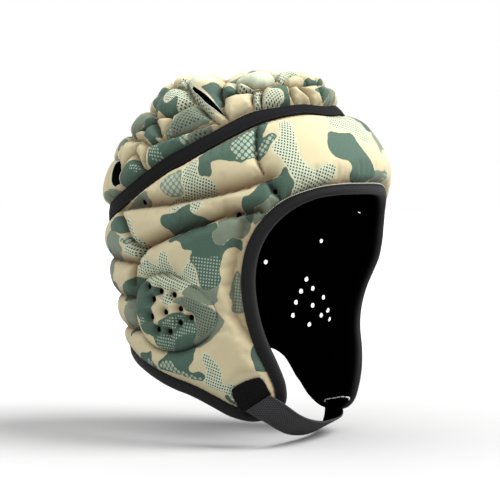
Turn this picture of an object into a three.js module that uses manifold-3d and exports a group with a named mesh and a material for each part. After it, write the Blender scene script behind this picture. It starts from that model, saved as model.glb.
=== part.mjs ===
// Soft shell helmet: a padded head guard of printed foam panels with a chin strap, in millimetres.
// Frame: +Z is up, the face looks along -Y and the wearer's left is +X.
// The origin is on the axis of the head, level with the edge on the forehead.
import * as THREE from 'three';
import { mergeVertices } from 'three/addons/utils/BufferGeometryUtils.js';
import Module from 'manifold-3d';

const wasm = await Module();
wasm.setup();

// Head form, from the apex down: half width, and reach to the front and to the back, at each height
const SECTIONS = [
  { z: 88, half: 0, front: 0, back: 0 },
  { z: 81, half: 40, front: 60, back: 52 },
  { z: 67, half: 55, front: 73, back: 63 },
  { z: 50, half: 67, front: 88, back: 83 },
  { z: 30, half: 78, front: 104, back: 95 },
  { z: 8, half: 85, front: 113, back: 104 },
  { z: -18, half: 88, front: 115, back: 108 },
  { z: -45, half: 88, front: 113, back: 107 },
  { z: -75, half: 86, front: 109, back: 99 },
  { z: -105, half: 83, front: 104, back: 91 },
  { z: -130, half: 80, front: 99, back: 82 },
  { z: -155, half: 76, front: 93, back: 71 },
  { z: -180, half: 71, front: 87, back: 59 },
];
const ROUNDNESS = 2.2; // superellipse exponent of every section

// Angles are in degrees round the head, 0 at the front, 180 at the back, plus on the wearer's left.
// Tape over the seam between crown and side, and the free edge from the forehead round a flap to the nape
const TAPE_LINE = [
  { angle: 0, z: 60 },
  { angle: 20, z: 61 },
  { angle: 40, z: 58 },
  { angle: 55, z: 53.5 },
  { angle: 68, z: 45 },
  { angle: 80, z: 34.5 },
  { angle: 90, z: 23.5 },
  { angle: 101, z: 11 },
  { angle: 112, z: -0.5 },
  { angle: 130, z: -12.5 },
  { angle: 150, z: -18.5 },
  { angle: 180, z: -20.5 },
];
const FREE_EDGE = [
  { angle: 0, z: -4 },
  { angle: 16, z: -4.5 },
  { angle: 29, z: -7 },
  { angle: 40, z: -14 },
  { angle: 48, z: -25 },
  { angle: 53, z: -40 },
  { angle: 55, z: -57 },
  { angle: 54.5, z: -74 },
  { angle: 52, z: -92 },
  { angle: 48, z: -108 },
  { angle: 43, z: -124 },
  { angle: 39, z: -139 },
  { angle: 39, z: -151 },
  { angle: 44, z: -161 },
  { angle: 54, z: -165 },
  { angle: 65, z: -161 },
  { angle: 75, z: -153 },
  { angle: 86, z: -145 },
  { angle: 100, z: -139 },
  { angle: 118, z: -132 },
  { angle: 138, z: -127 },
  { angle: 159, z: -125 },
  { angle: 180, z: -124 },
];

// Heights are measured out from the form, so the inside of a wall is negative
const PANEL_INSIDE = -10.5;
const GAP = 0.3;
const LINING_THICK = 1.2;
const SEAM_FLOOR = -4;
const SEAM_FLANGE = 6.3;
const TAPE_HALF_WIDTH = 5.6;
const TAPE_THICK = 1.5;
const BINDING_WIDTH = 10;
const BINDING_FLOOR = -3.4;
const BINDING_STAND = 1.3;
const BINDING_OUTSIDE = BINDING_FLOOR + BINDING_STAND;
const BINDING_INSIDE = PANEL_INSIDE - LINING_THICK - 2 * GAP;
const BINDING_ROLL = 2;
const SHELL_BOTTOM = -174;
const EDGE_STEPS = 66;

// Crown pads: rings of cells, by their share of the way from the tape to the apex,
// with the angles of the splits between cells, the same on both sides
const CROWN_RINGS = [
  { to: 0.21, splits: [0, 15, 31, 46, 63, 106, 116, 128, 155, 180] },
  { to: 0.42, splits: [0, 22, 43, 71, 101, 114, 131, 158, 180] },
  { to: 0.6, splits: [0, 29, 54, 80, 106, 134, 165] },
  { to: 0.78, splits: [21, 58, 90, 122, 152, 180] },
  { to: 1.2, splits: [0, 55, 118, 180] },
];
const CROWN_TOP = 2;
const CROWN_FLOOR = -4.5;
const CELL_ROUND = 8;
const TOP_BUTTON = 22;
const CROWN_COLUMNS = 60;
const CROWN_ROWS = [0.1, 0.16, 0.21, 0.26, 0.37, 0.42, 0.47, 0.55, 0.6, 0.65, 0.73, 0.78, 0.87];
const CROWN_INNER = { columns: 30, rows: [0.16, 0.36, 0.58, 0.8] };

// Open darts in the crown, on both sides, each a lens along its line
const DARTS = [
  { width: 5.5, line: [[69, 53], [75, 58.5], [82, 64.5], [90, 71], [100, 78]] },
  { width: 9, line: [[127, 0], [129, 8], [131, 16], [132, 24]] },
];
const DART_STEPS = 5;

// Sewn grooves between the side pads, on both sides: depth under the form, reach of the valley's slopes,
// and places of angle and height along the line
const GROOVES = [
  { depth: 3.5, reach: 12, line: [[53, 44], [55, 28], [54, 21], [51, 9], [47, 0], [43, -8]] },
  { depth: 4, reach: 14, line: [[50, 8], [60, 2], [69, -2], [80, -6], [90, -10], [114, -15]] },
  { depth: 5, reach: 14, line: [[55, -15], [66, -17.5], [72, -21], [81, -27], [89, -33], [101, -43]] },
  { depth: 4.5, reach: 12, line: [[118, -18], [112, -24], [108, -35], [101, -43], [106, -54], [109, -68]] },
  { depth: 3, reach: 11, line: [[59, -23], [62, -41], [64, -66], [62, -88], [58, -98], [53, -108]] },
  { depth: 4.5, reach: 12, line: [[106, -54], [130, -53], [155, -52], [180, -52]] },
  { depth: 4.5, reach: 12, line: [[110, -80], [130, -80], [155, -80], [180, -80]] },
  { depth: 4.5, reach: 12, line: [[106, -104], [130, -104], [155, -104], [180, -104]] },
];
const GROOVE_STEPS = 24;
const SIDE_TOP = 1.8;
const SIDE_COLUMNS = 64;
const SIDE_ROWS = 20;
const SIDE_INNER = { columns: 32, rows: 5 };
const SEAM_ROUND = 9;

// Ear cup: an egg on the side of the head, blunt to the back, with its perforations as forward and up places
const EAR = { angle: 89, z: -88, long: 39, tall: 28, taper: 0.2, top: 3, floor: -4.5, inside: -9.7 };
const EAR_SIDES = 22;
const EAR_GAP = 0.5;
const EAR_OUTER = [{ share: 0.93, rise: 0.45 }, { share: 0.8, rise: 0.85 }, { share: 0.55, rise: 1 }];
const EAR_INNER_SHARE = 0.5;
const EAR_HOLES = [
  [-21, 19], [-9, 16], [3, 14], [-17, 10], [8, 4], [-6, 1],
  [17, -2], [-20, -3], [7, -6], [-14, -12], [-3, -13],
];
const HOLE_RADIUS = 2;
const HOLE_SIDES = 5;
const LINING_HOLE_SIDES = 4;
const LINING_INSET = 11.5;
const HOLE_LENGTH = 60;

// Cutters run clear of the wall by these heights, and the edge cutter comes to a point inside and outside
const CUT_OUTSIDE = 20;
const CUT_INSIDE = -18;
const EDGE_CUT_INSIDE = -27;
const EDGE_CUT_POINTS = { inside: [0, -15, -95], outside: [0, -200, -1500] };

// Single vents in the side panel
const VENTS = [
  [-47.5, 0.6], [-63, -16], [-103.5, -8], [-101, -43],
  [47.5, 0.6], [63, -16], [103.5, -8], [82, -41], [105, -58],
];
const VENT_RADIUS = 1.8;

// Chin strap: its middle line from the patch on the right flap to the inside of the left flap,
// with the direction across its width at each place
const STRAP_WIDTH = 20;
const STRAP_THICK = 1.8;
const STRAP_LINE = [
  { at: [-70.4, -60.1, -145.5], across: [0.14, -0.54, 0.81] },
  { at: [-64.3, -67.2, -151.5], across: [0.2, -0.58, 0.79] },
  { at: [-56, -73, -157.5], across: [0.2, -0.65, 0.73] },
  { at: [-41, -74.3, -165.5], across: [0.1, -0.75, 0.65] },
  { at: [-22, -70, -171], across: [0, -0.8, 0.6] },
  { at: [0, -65, -174.5], across: [0, -0.85, 0.53] },
  { at: [20, -62, -173.5], across: [0, -0.87, 0.49] },
  { at: [36, -59.5, -168.5], across: [-0.1, -0.87, 0.45] },
  { at: [45, -56, -161], across: [-0.3, -0.87, 0.35] },
  { at: [49, -53.3, -152], across: [-0.42, -0.86, 0.27] },
  { at: [51.6, -51.6, -142.5], across: [-0.45, -0.86, 0.23] },
  { at: [53.6, -50.5, -133.7], across: [-0.45, -0.86, 0.23] },
];
const STRAP_STEPS = 26;

// Hook-and-loop patch under the strap's end: its middle, half sizes, turn on the flap and lift off the form
const PATCH = { angle: -53.5, z: -143, along: 12, across: 12, turn: 25, thick: 1.6, lift: 2.4 };

const BEIGE = 0xdcc9a0;
const GREEN = 0x4b6a5b;
const BLACK = 0x1d1c20;
const LINING_BLACK = 0x08080a;
const STRAP_GREY = 0x2b2b2e;

const radians = THREE.MathUtils.degToRad;
const degrees = THREE.MathUtils.radToDeg;
const signedPower = (value, power) => Math.sign(value) * Math.abs(value) ** power;

// Catmull-Rom between b and c
function catmull(a, b, c, d, f) {
  const square = (2 * a - 5 * b + 4 * c - d) * f * f;
  const cube = (3 * b - a - 3 * c + d) * f * f * f;
  return 0.5 * (2 * b + (c - a) * f + square + cube);
}

// The form's section at a level, counted in rows of SECTIONS from the apex
const LAST_LEVEL = SECTIONS.length - 1;
function sectionAt(level) {
  const row = Math.min(Math.floor(level), LAST_LEVEL - 1);
  const [, { z, half, front, back }] = SECTIONS;
  const before = row === 0 ? { z, half: -half, front: -front, back: -back } : SECTIONS[row - 1];
  const rows = [before, SECTIONS[row], SECTIONS[row + 1], SECTIONS[Math.min(row + 2, LAST_LEVEL)]];
  const value = (key) => catmull(...rows.map((section) => section[key]), level - row);
  return { z: value('z'), half: value('half'), front: value('front'), back: value('back') };
}

// The level at a height, by halving
const HALVINGS = 26;
function levelOf(z) {
  let high = 0;
  let low = LAST_LEVEL;
  for (let step = 0; step < HALVINGS; step++) {
    const middle = (high + low) / 2;
    if (sectionAt(middle).z > z) high = middle;
    else low = middle;
  }
  return (high + low) / 2;
}

function formPoint(angle, level) {
  const { z, half, front, back } = sectionAt(level);
  const cosine = Math.cos(radians(angle));
  const reach = cosine > 0 ? front : back;
  const x = half * signedPower(Math.sin(radians(angle)), 2 / ROUNDNESS);
  return new THREE.Vector3(x, -reach * signedPower(cosine, 2 / ROUNDNESS), z);
}

// Outward normal of the form, straight up at the apex
const NORMAL_STEP = 0.02;
function formNormal(angle, level) {
  const step = NORMAL_STEP;
  if (level < step) return new THREE.Vector3(0, 0, 1);
  const round = formPoint(angle + 0.5, level).sub(formPoint(angle - 0.5, level));
  const upper = Math.max(level - step, 0);
  const lower = Math.min(level + step, LAST_LEVEL);
  const down = formPoint(angle, lower).sub(formPoint(angle, upper));
  return down.cross(round).normalize();
}

function shellPoint(place, height) {
  return formPoint(place.angle, place.level).addScaledVector(formNormal(place.angle, place.level), height);
}

const placeAt = (angle, z) => ({ angle, level: levelOf(z) });

// The place on the form that lies nearest a point's own direction and height
function placeOf(point) {
  const level = levelOf(point.z);
  const { half, front, back } = sectionAt(level);
  const sine = signedPower(point.x / half, ROUNDNESS / 2);
  const cosine = signedPower(-point.y / (point.y < 0 ? front : back), ROUNDNESS / 2);
  return { angle: degrees(Math.atan2(sine, cosine)), level };
}

// Places along half a table, mirrored over the front and the back to a closed line
function closedLine(table, count) {
  const flip = (row, turn) => ({ angle: turn - row.angle, z: row.z });
  const rows = [flip(table[1], 0), ...table, flip(table[table.length - 2], 360)];
  const at = (u) => {
    const row = Math.min(Math.floor(u), table.length - 2);
    const value = (key) => catmull(...[0, 1, 2, 3].map((k) => rows[row + k][key]), u - row);
    return placeAt(value('angle'), value('z'));
  };
  const left = Array.from({ length: count / 2 + 1 }, (_, i) => at(((table.length - 1) * 2 * i) / count));
  const right = left.slice(1, -1).reverse().map((place) => ({ angle: -place.angle, level: place.level }));
  return [...left, ...right];
}

// Height of the tape line at an angle, on a smooth curve through its table
function tapeHeight(angle) {
  const a = Math.abs(((angle + 540) % 360) - 180);
  const last = TAPE_LINE.length - 1;
  const row = Math.max(0, TAPE_LINE.findIndex((next, i) => i === last - 1 || TAPE_LINE[i + 1].angle >= a));
  const slope = (i) => {
    if (i === 0 || i === last) return 0;
    return (TAPE_LINE[i + 1].z - TAPE_LINE[i - 1].z) / (TAPE_LINE[i + 1].angle - TAPE_LINE[i - 1].angle);
  };
  const span = TAPE_LINE[row + 1].angle - TAPE_LINE[row].angle;
  const f = (a - TAPE_LINE[row].angle) / span;
  const start = TAPE_LINE[row].z * (1 + 2 * f) * (1 - f) ** 2 + slope(row) * span * f * (1 - f) ** 2;
  const end = TAPE_LINE[row + 1].z * f * f * (3 - 2 * f) - slope(row + 1) * span * f * f * (1 - f);
  return start + end;
}

// How much longer a drop down the form is than the distance square to the slanting tape
function tapeSlant(angle) {
  const level = levelOf(tapeHeight(angle));
  const run = formPoint(angle + 1, level).distanceTo(formPoint(angle - 1, level));
  return Math.hypot(run, tapeHeight(angle + 1) - tapeHeight(angle - 1)) / run;
}

// Triangles between two closed loops of point numbers, stepping along whichever lags behind
function joinLoops(a, b) {
  const faces = [];
  let i = 0;
  let j = 0;
  while (i < a.length || j < b.length) {
    const stepA = j >= b.length || (i < a.length && (i + 1) / a.length <= (j + 1) / b.length);
    const next = stepA ? a[(i + 1) % a.length] : b[(j + 1) % b.length];
    const face = [a[i % a.length], next, b[j % b.length]];
    if (new Set(face).size === 3) faces.push(face);
    if (stepA) i++;
    else j++;
  }
  return faces;
}

// Closed body through loops of points. Loops at the ends are single points, or the last joins the first
function loft(loops, ring = false) {
  const points = loops.flat();
  let count = 0;
  const numbers = loops.map((loop) => loop.map(() => count++));
  const pairs = numbers.map((loop, i) => [loop, numbers[(i + 1) % numbers.length]]);
  const faces = (ring ? pairs : pairs.slice(0, -1)).flatMap(([a, b]) => joinLoops(a, b));
  const volume = faces.reduce((sum, [a, b, c]) => {
    return sum + points[a].dot(new THREE.Vector3().crossVectors(points[b], points[c]));
  }, 0);
  const outward = volume > 0 ? faces : faces.map(([a, b, c]) => [a, c, b]);
  const geometry = new THREE.BufferGeometry().setFromPoints(points);
  return geometry.setIndex(outward.flat());
}

function middleOf(loop) {
  const sum = new THREE.Vector3();
  loop.forEach((point) => sum.add(point));
  return sum.divideScalar(loop.length);
}

// Body through loops whose first and last loops are closed by a fan
const capped = (loops) => loft([[middleOf(loops[0])], ...loops, [middleOf(loops[loops.length - 1])]]);

function toSolid(geometry) {
  const merged = mergeVertices(geometry, 1e-4);
  const vertProperties = new Float32Array(merged.attributes.position.array);
  const triVerts = new Uint32Array(merged.index.array);
  return new wasm.Manifold(new wasm.Mesh({ numProp: 3, vertProperties, triVerts }));
}

function cutAway(geometry, cutters) {
  const solid = cutters.reduce((body, cutter) => body.subtract(toSolid(cutter)), toSolid(geometry));
  const mesh = solid.getMesh();
  const result = new THREE.BufferGeometry();
  result.setAttribute('position', new THREE.BufferAttribute(new Float32Array(mesh.vertProperties), 3));
  return result.setIndex(Array.from(mesh.triVerts));
}

// Rounded shoulder: 0 at the seam, 1 at its reach and beyond
const shoulder = (share) => Math.sqrt(1 - (1 - Math.min(Math.max(share, 0), 1)) ** 2);

// Soft valley: 0 at the sewn line, 1 at its reach and beyond
const valley = (share) => (1 - Math.cos(Math.PI * Math.min(share, 1))) / 2;

// A meridian of the crown by its share of the way from the tape to the apex
const MERIDIAN_STEPS = 40;
function meridian(angle) {
  const start = levelOf(tapeHeight(angle));
  const steps = MERIDIAN_STEPS;
  const levels = Array.from({ length: steps + 1 }, (_, i) => start * (1 - i / steps));
  const lengths = [0];
  for (let i = 1; i <= steps; i++) {
    lengths.push(lengths[i - 1] + formPoint(angle, levels[i]).distanceTo(formPoint(angle, levels[i - 1])));
  }
  const total = lengths[steps];
  const levelAt = (share) => {
    const row = Math.min(lengths.findIndex((length) => length >= share * total), steps);
    if (row < 1) return start;
    const f = (share * total - lengths[row - 1]) / (lengths[row] - lengths[row - 1]);
    return levels[row - 1] + f * (levels[row] - levels[row - 1]);
  };
  return { total, levelAt };
}

// Shares of a meridian at the crown's rim and at the inner border of its seam flange
const seamShare = (line) => (GAP * tapeSlant(line.angle)) / line.total;
const flangeShare = (line) => (SEAM_FLANGE * tapeSlant(line.angle)) / line.total;

// Height of the crown pads: each cell is a pillow that drops to the sewn lines round it
function crownHeight(angle, share, line) {
  const a = Math.abs(angle > 180 ? angle - 360 : angle);
  const ring = CROWN_RINGS.findIndex((row) => share <= row.to);
  const from = ring === 0 ? flangeShare(line) : CROWN_RINGS[ring - 1].to;
  const toRing = Math.min(share - from, CROWN_RINGS[ring].to - share) * line.total;
  const level = line.levelAt(share);
  const perDegree = formPoint(a + 1, level).distanceTo(formPoint(a, level));
  const nearestSplit = Math.min(...CROWN_RINGS[ring].splits.map((split) => Math.abs(a - split)));
  const inButton = Math.max(0, TOP_BUTTON - (1 - share) * line.total);
  const toSplit = nearestSplit * perDegree + inButton;
  const pillow = shoulder(toRing / CELL_ROUND) * shoulder(toSplit / CELL_ROUND);
  return CROWN_FLOOR + (CROWN_TOP - CROWN_FLOOR) * pillow;
}

const turnAngles = (count) => Array.from({ length: count }, (_, i) => (360 * i) / count);

// Meridians of the crown at even angles
const crownLines = (columns) => turnAngles(columns).map((angle) => ({ angle, ...meridian(angle) }));

// A loop round the crown, at a share of the way up and a height that may follow the pads
function crownLoop(lines, shareOf, heightOf) {
  return lines.map((line) => {
    const share = shareOf(line);
    const place = { angle: line.angle, level: line.levelAt(share) };
    return shellPoint(place, heightOf(line, share));
  });
}

const crownApex = (height) => [new THREE.Vector3(0, 0, SECTIONS[0].z + height)];

// Inside of the crown on its own grid, from the rim to the apex
function crownInside() {
  const lines = crownLines(CROWN_INNER.columns);
  const height = () => PANEL_INSIDE;
  const rim = crownLoop(lines, seamShare, height);
  const rows = CROWN_INNER.rows.map((row) => crownLoop(lines, () => row, height));
  return [rim, ...rows, crownApex(PANEL_INSIDE)];
}

function crownPads() {
  const lines = crownLines(CROWN_COLUMNS);
  const padHeight = (line, share) => crownHeight(line.angle, share, line);
  const pads = CROWN_ROWS.map((row) => crownLoop(lines, () => row, padHeight)).reverse();
  const rim = [flangeShare, seamShare].map((share) => crownLoop(lines, share, () => SEAM_FLOOR));
  return loft([crownApex(CROWN_TOP), ...pads, ...rim, ...crownInside()]);
}

// A dart's cutter: a lens along its line, through the whole wall
function dartCutter(dart, side) {
  const line = dart.line.map(([angle, z]) => formPoint(side * angle, levelOf(z)));
  const curve = new THREE.CatmullRomCurve3(line);
  const edge = (sign, height) => Array.from({ length: DART_STEPS + 1 }, (_, i) => {
    const share = i / DART_STEPS;
    const point = curve.getPoint(share);
    const place = placeOf(point);
    const normal = formNormal(place.angle, place.level);
    const across = curve.getTangent(share).cross(normal).normalize();
    const opening = (sign * dart.width * Math.sin(Math.PI * share)) / 2;
    return point.addScaledVector(across, opening).addScaledVector(normal, height);
  });
  const loopAt = (height) => [...edge(1, height), ...edge(-1, height).slice(1, -1).reverse()];
  return capped([loopAt(CUT_OUTSIDE), loopAt(CUT_INSIDE)]);
}

// Sewn lines of the side panel as points on the form, on both sides
function sewnLines() {
  return GROOVES.flatMap((groove) => [1, -1].map((side) => {
    const line = groove.line.map(([angle, z]) => formPoint(side * angle, levelOf(z)));
    const points = new THREE.CatmullRomCurve3(line).getSpacedPoints(GROOVE_STEPS);
    return { depth: groove.depth, reach: groove.reach, points };
  }));
}

const nearest = (point, line) => Math.min(...line.map((other) => point.distanceTo(other)));

// Height of the side pads at a place: full, dropping to the grooves, the seam, the ears and the bound edge
function sideHeight(place, lines, edge, ears) {
  const point = formPoint(place.angle, place.level);
  const fromTape = (tapeHeight(place.angle) - point.z) / tapeSlant(place.angle) - SEAM_FLANGE;
  const fromEdge = nearest(point, edge) - BINDING_WIDTH;
  const drops = lines.map((line) => {
    return -line.depth + (SIDE_TOP + line.depth) * valley(nearest(point, line.points) / line.reach);
  });
  const seam = SEAM_FLOOR + (SIDE_TOP - SEAM_FLOOR) * shoulder(fromTape / SEAM_ROUND);
  const bound = BINDING_FLOOR + (SIDE_TOP - BINDING_FLOOR) * shoulder(fromEdge / SEAM_ROUND);
  const ear = EAR.floor + (SIDE_TOP - EAR.floor) * shoulder(nearest(point, ears) / SEAM_ROUND);
  return Math.min(seam, bound, ear, ...drops);
}

// A loop round the side, at a share of the way from the tape down to the shell's bottom
function sideLoop(columns, share, drop, heightOf) {
  const low = levelOf(SHELL_BOTTOM);
  return turnAngles(columns).map((turn) => {
    const angle = turn > 180 ? turn - 360 : turn;
    const high = levelOf(tapeHeight(angle) - drop * tapeSlant(angle));
    const place = { angle, level: high + (low - high) * share };
    return shellPoint(place, heightOf(place));
  });
}

// A plain skin of the side on the inner grid, from the bottom up to the tape
function sideSkin(height) {
  const { columns, rows } = SIDE_INNER;
  return Array.from({ length: rows + 1 }, (_, i) => sideLoop(columns, 1 - i / rows, GAP, () => height));
}

// Ring-shaped wall round the head, before the face is cut out
function sidePads(padHeight) {
  const seam = sideLoop(SIDE_COLUMNS, 0, GAP, () => SEAM_FLOOR);
  const rows = Array.from({ length: SIDE_ROWS + 1 }, (_, i) => i / SIDE_ROWS);
  const pads = rows.map((share) => sideLoop(SIDE_COLUMNS, share, SEAM_FLANGE, padHeight));
  return loft([seam, ...pads, ...sideSkin(PANEL_INSIDE)], true);
}

// The free edge's own frame at each step: along the edge, and square to it into the panel
function edgeFrames(edge) {
  const points = edge.map((place) => formPoint(place.angle, place.level));
  return edge.map((place, i) => {
    const next = points[(i + 1) % points.length];
    const along = next.clone().sub(points[(i + points.length - 1) % points.length]).normalize();
    const inward = formNormal(place.angle, place.level).cross(along).normalize();
    return { point: points[i], inward };
  });
}

const edgeLoop = (frames, inset, height) => frames.map((frame) => {
  return shellPoint(placeOf(frame.point.clone().addScaledVector(frame.inward, inset)), height);
});

// Everything outside the free edge: the face opening and the open neck
function edgeCutter(frames, inset) {
  const inside = new THREE.Vector3(...EDGE_CUT_POINTS.inside);
  const outside = new THREE.Vector3(...EDGE_CUT_POINTS.outside);
  const heights = [EDGE_CUT_INSIDE, BINDING_INSIDE, BINDING_OUTSIDE, CUT_OUTSIDE];
  return loft([[inside], ...heights.map((height) => edgeLoop(frames, inset, height)), [outside]]);
}

// Ear frame on one side: middle, forward and up along the form
function earFrame(side) {
  const place = placeAt(side * EAR.angle, EAR.z);
  const middle = formPoint(place.angle, place.level);
  const normal = formNormal(place.angle, place.level);
  const up = new THREE.Vector3(0, 0, 1).addScaledVector(normal, -normal.z).normalize();
  const forward = new THREE.Vector3(0, -1, 0).addScaledVector(normal, normal.y).normalize();
  return { middle, normal, up, forward };
}

function earPlace(frame, ahead, above) {
  return placeOf(frame.middle.clone().addScaledVector(frame.forward, ahead).addScaledVector(frame.up, above));
}

// A loop of the ear's egg outline, at a share of its size and with a margin round it
function earLoop(frame, share, margin, height) {
  return Array.from({ length: EAR_SIDES }, (_, i) => {
    const turn = (2 * Math.PI * i) / EAR_SIDES;
    const ahead = (EAR.long * share + margin) * Math.cos(turn);
    const above = (EAR.tall * share + margin) * Math.sin(turn) * (1 - EAR.taper * Math.cos(turn));
    return shellPoint(earPlace(frame, ahead, above), height);
  });
}

function earCup(frame) {
  const rise = EAR.top - EAR.floor;
  const outer = EAR_OUTER.map((row) => earLoop(frame, row.share, 0, EAR.floor + rise * row.rise));
  const rim = [earLoop(frame, 1, 0, EAR.floor), earLoop(frame, 1, 0, EAR.inside)];
  const inner = earLoop(frame, EAR_INNER_SHARE, 0, EAR.inside);
  return capped([...outer.reverse(), ...rim, inner]);
}

function earOpening(frame) {
  return capped([CUT_OUTSIDE, CUT_INSIDE].map((height) => earLoop(frame, 1, EAR_GAP, height)));
}

// A straight pin through the wall, to cut a hole with
function pin(point, direction, radius, sides) {
  const geometry = new THREE.CylinderGeometry(radius, radius, HOLE_LENGTH, sides);
  geometry.deleteAttribute('normal');
  geometry.deleteAttribute('uv');
  const turn = new THREE.Quaternion().setFromUnitVectors(new THREE.Vector3(0, 1, 0), direction);
  return geometry.applyQuaternion(turn).translate(point.x, point.y, point.z);
}

function earPins(frame, sides) {
  return EAR_HOLES.map(([ahead, above]) => {
    const place = earPlace(frame, ahead, above);
    return pin(formPoint(place.angle, place.level), frame.normal, HOLE_RADIUS, sides);
  });
}

function ventPins(sides) {
  return VENTS.map(([angle, z]) => {
    const place = placeAt(angle, z);
    return pin(formPoint(angle, place.level), formNormal(angle, place.level), VENT_RADIUS, sides);
  });
}

// Tape along the seam, lying on the flanges of both panels
function crownBand() {
  const angles = turnAngles(CROWN_COLUMNS);
  const places = angles.map((angle) => placeAt(angle, tapeHeight(angle)));
  const frames = edgeFrames(places);
  const base = SEAM_FLOOR + GAP;
  const profile = [
    [-TAPE_HALF_WIDTH, base],
    [-TAPE_HALF_WIDTH, base + TAPE_THICK],
    [TAPE_HALF_WIDTH, base + TAPE_THICK],
    [TAPE_HALF_WIDTH, base],
  ];
  return loft(profile.map(([across, height]) => edgeLoop(frames, across, height)), true);
}

// Bound edge: a rolled rim that closes the panel and its lining
function edgeBinding(frames) {
  const root = BINDING_WIDTH - GAP;
  const profile = [
    [root, BINDING_OUTSIDE],
    [BINDING_ROLL, BINDING_OUTSIDE],
    [0, BINDING_OUTSIDE - BINDING_ROLL],
    [0, BINDING_INSIDE + 2 * BINDING_ROLL],
    [BINDING_ROLL, BINDING_INSIDE + BINDING_ROLL],
    [root, BINDING_INSIDE],
  ];
  return loft(profile.map(([inset, height]) => edgeLoop(frames, inset, height)), true);
}

// Flat strap along its middle line
function chinStrap() {
  const vector = (values) => new THREE.Vector3(...values);
  const middle = new THREE.CatmullRomCurve3(STRAP_LINE.map((row) => vector(row.at)));
  const width = new THREE.CatmullRomCurve3(STRAP_LINE.map((row) => vector(row.across)));
  const loops = Array.from({ length: STRAP_STEPS + 1 }, (_, i) => {
    const share = i / STRAP_STEPS;
    const along = middle.getTangent(share);
    const across = width.getPoint(share);
    across.addScaledVector(along, -across.dot(along)).normalize();
    const face = along.cross(across).normalize();
    const corner = (w, t) => middle.getPoint(share)
      .addScaledVector(across, (w * STRAP_WIDTH) / 2)
      .addScaledVector(face, (t * STRAP_THICK) / 2);
    return [corner(-1, -1), corner(1, -1), corner(1, 1), corner(-1, 1)];
  });
  return capped(loops);
}

// Patch laid on the flap's outer pad
function strapPatch() {
  const place = placeAt(PATCH.angle, PATCH.z);
  const middle = formPoint(place.angle, place.level);
  const normal = formNormal(place.angle, place.level);
  const level = new THREE.Vector3(0, 0, 1).cross(normal).normalize();
  const along = level.applyAxisAngle(normal, radians(PATCH.turn));
  const across = along.clone().cross(normal);
  const corners = [[-1, -1], [-1, 0], [-1, 1], [0, 1], [1, 1], [1, 0], [1, -1], [0, -1]];
  const loopAt = (height) => corners.map(([a, b]) => {
    const point = middle.clone().addScaledVector(along, a * PATCH.along);
    return shellPoint(placeOf(point.addScaledVector(across, b * PATCH.across)), height);
  });
  const top = PATCH.lift + PATCH.thick;
  return loft([[shellPoint(place, top)], loopAt(top), loopAt(PATCH.lift), [shellPoint(place, PATCH.lift)]]);
}

function finish(color, roughness) {
  return new THREE.MeshStandardMaterial({ color, roughness, metalness: 0 });
}

const helmet = new THREE.Group();
function addPiece(name, geometry, material) {
  const mesh = new THREE.Mesh(geometry, material);
  mesh.name = name;
  helmet.add(mesh);
}

const edge = closedLine(FREE_EDGE, EDGE_STEPS);
const frames = edgeFrames(edge);
const opening = edgeCutter(frames, BINDING_WIDTH);
const liningOpening = edgeCutter(frames.filter((_, i) => i % 2 === 0), LINING_INSET);
const ears = { right: earFrame(-1), left: earFrame(1) };
const earRims = Object.values(ears).flatMap((frame) => earLoop(frame, 1, 0, 0));
const edgePoints = frames.map((frame) => frame.point);
const lines = sewnLines();
const vents = ventPins(HOLE_SIDES);
const earPinsInLining = Object.values(ears).flatMap((frame) => earPins(frame, LINING_HOLE_SIDES));
const liningPins = [...ventPins(LINING_HOLE_SIDES), ...earPinsInLining];
const darts = DARTS.flatMap((dart) => [1, -1].map((side) => dartCutter(dart, side)));

addPiece('crown', cutAway(crownPads(), darts), finish(GREEN, 0.75));

const padHeight = (place) => sideHeight(place, lines, edgePoints, earRims);
const sideCutters = [opening, ...Object.values(ears).map(earOpening), ...vents];
addPiece('side_panel', cutAway(sidePads(padHeight), sideCutters), finish(BEIGE, 0.75));

const liningTop = PANEL_INSIDE - GAP;
const sideLining = loft([...sideSkin(liningTop), ...sideSkin(liningTop - LINING_THICK).reverse()], true);
addPiece('side_lining', cutAway(sideLining, [liningOpening, ...liningPins]), finish(LINING_BLACK, 0.9));

for (const [side, frame] of Object.entries(ears)) {
  addPiece(`ear_cup_${side}`, cutAway(earCup(frame), earPins(frame, HOLE_SIDES)), finish(GREEN, 0.75));
}

addPiece('crown_band', crownBand(), finish(BLACK, 0.7));
addPiece('edge_binding', edgeBinding(frames), finish(BLACK, 0.7));
addPiece('chin_strap', chinStrap(), finish(STRAP_GREY, 0.85));
addPiece('strap_patch', strapPatch(), finish(BLACK, 0.95));

export default helmet;
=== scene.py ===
# Soft shell helmet: printed foam panels, perforated ear pads, black tape and binding, lining, chin strap
import math

import bpy
import numpy as np
from mathutils import Matrix, Vector


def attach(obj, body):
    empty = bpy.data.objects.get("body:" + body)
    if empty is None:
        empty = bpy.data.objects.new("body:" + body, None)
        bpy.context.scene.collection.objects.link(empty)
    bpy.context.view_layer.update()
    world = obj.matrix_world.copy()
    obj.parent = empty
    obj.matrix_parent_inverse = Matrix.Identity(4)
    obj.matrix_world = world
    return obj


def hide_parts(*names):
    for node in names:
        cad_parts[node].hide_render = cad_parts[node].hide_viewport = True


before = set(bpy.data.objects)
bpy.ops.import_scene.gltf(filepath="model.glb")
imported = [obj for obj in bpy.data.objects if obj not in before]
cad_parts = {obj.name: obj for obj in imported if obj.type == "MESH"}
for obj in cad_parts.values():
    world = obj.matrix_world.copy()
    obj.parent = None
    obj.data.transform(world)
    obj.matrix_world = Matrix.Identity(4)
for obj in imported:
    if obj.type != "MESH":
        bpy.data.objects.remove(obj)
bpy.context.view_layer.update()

BODY = "root"
MM = 0.001
# A distance past every reach in the script, in millimetres
FAR_OFF = 99.0

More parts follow.
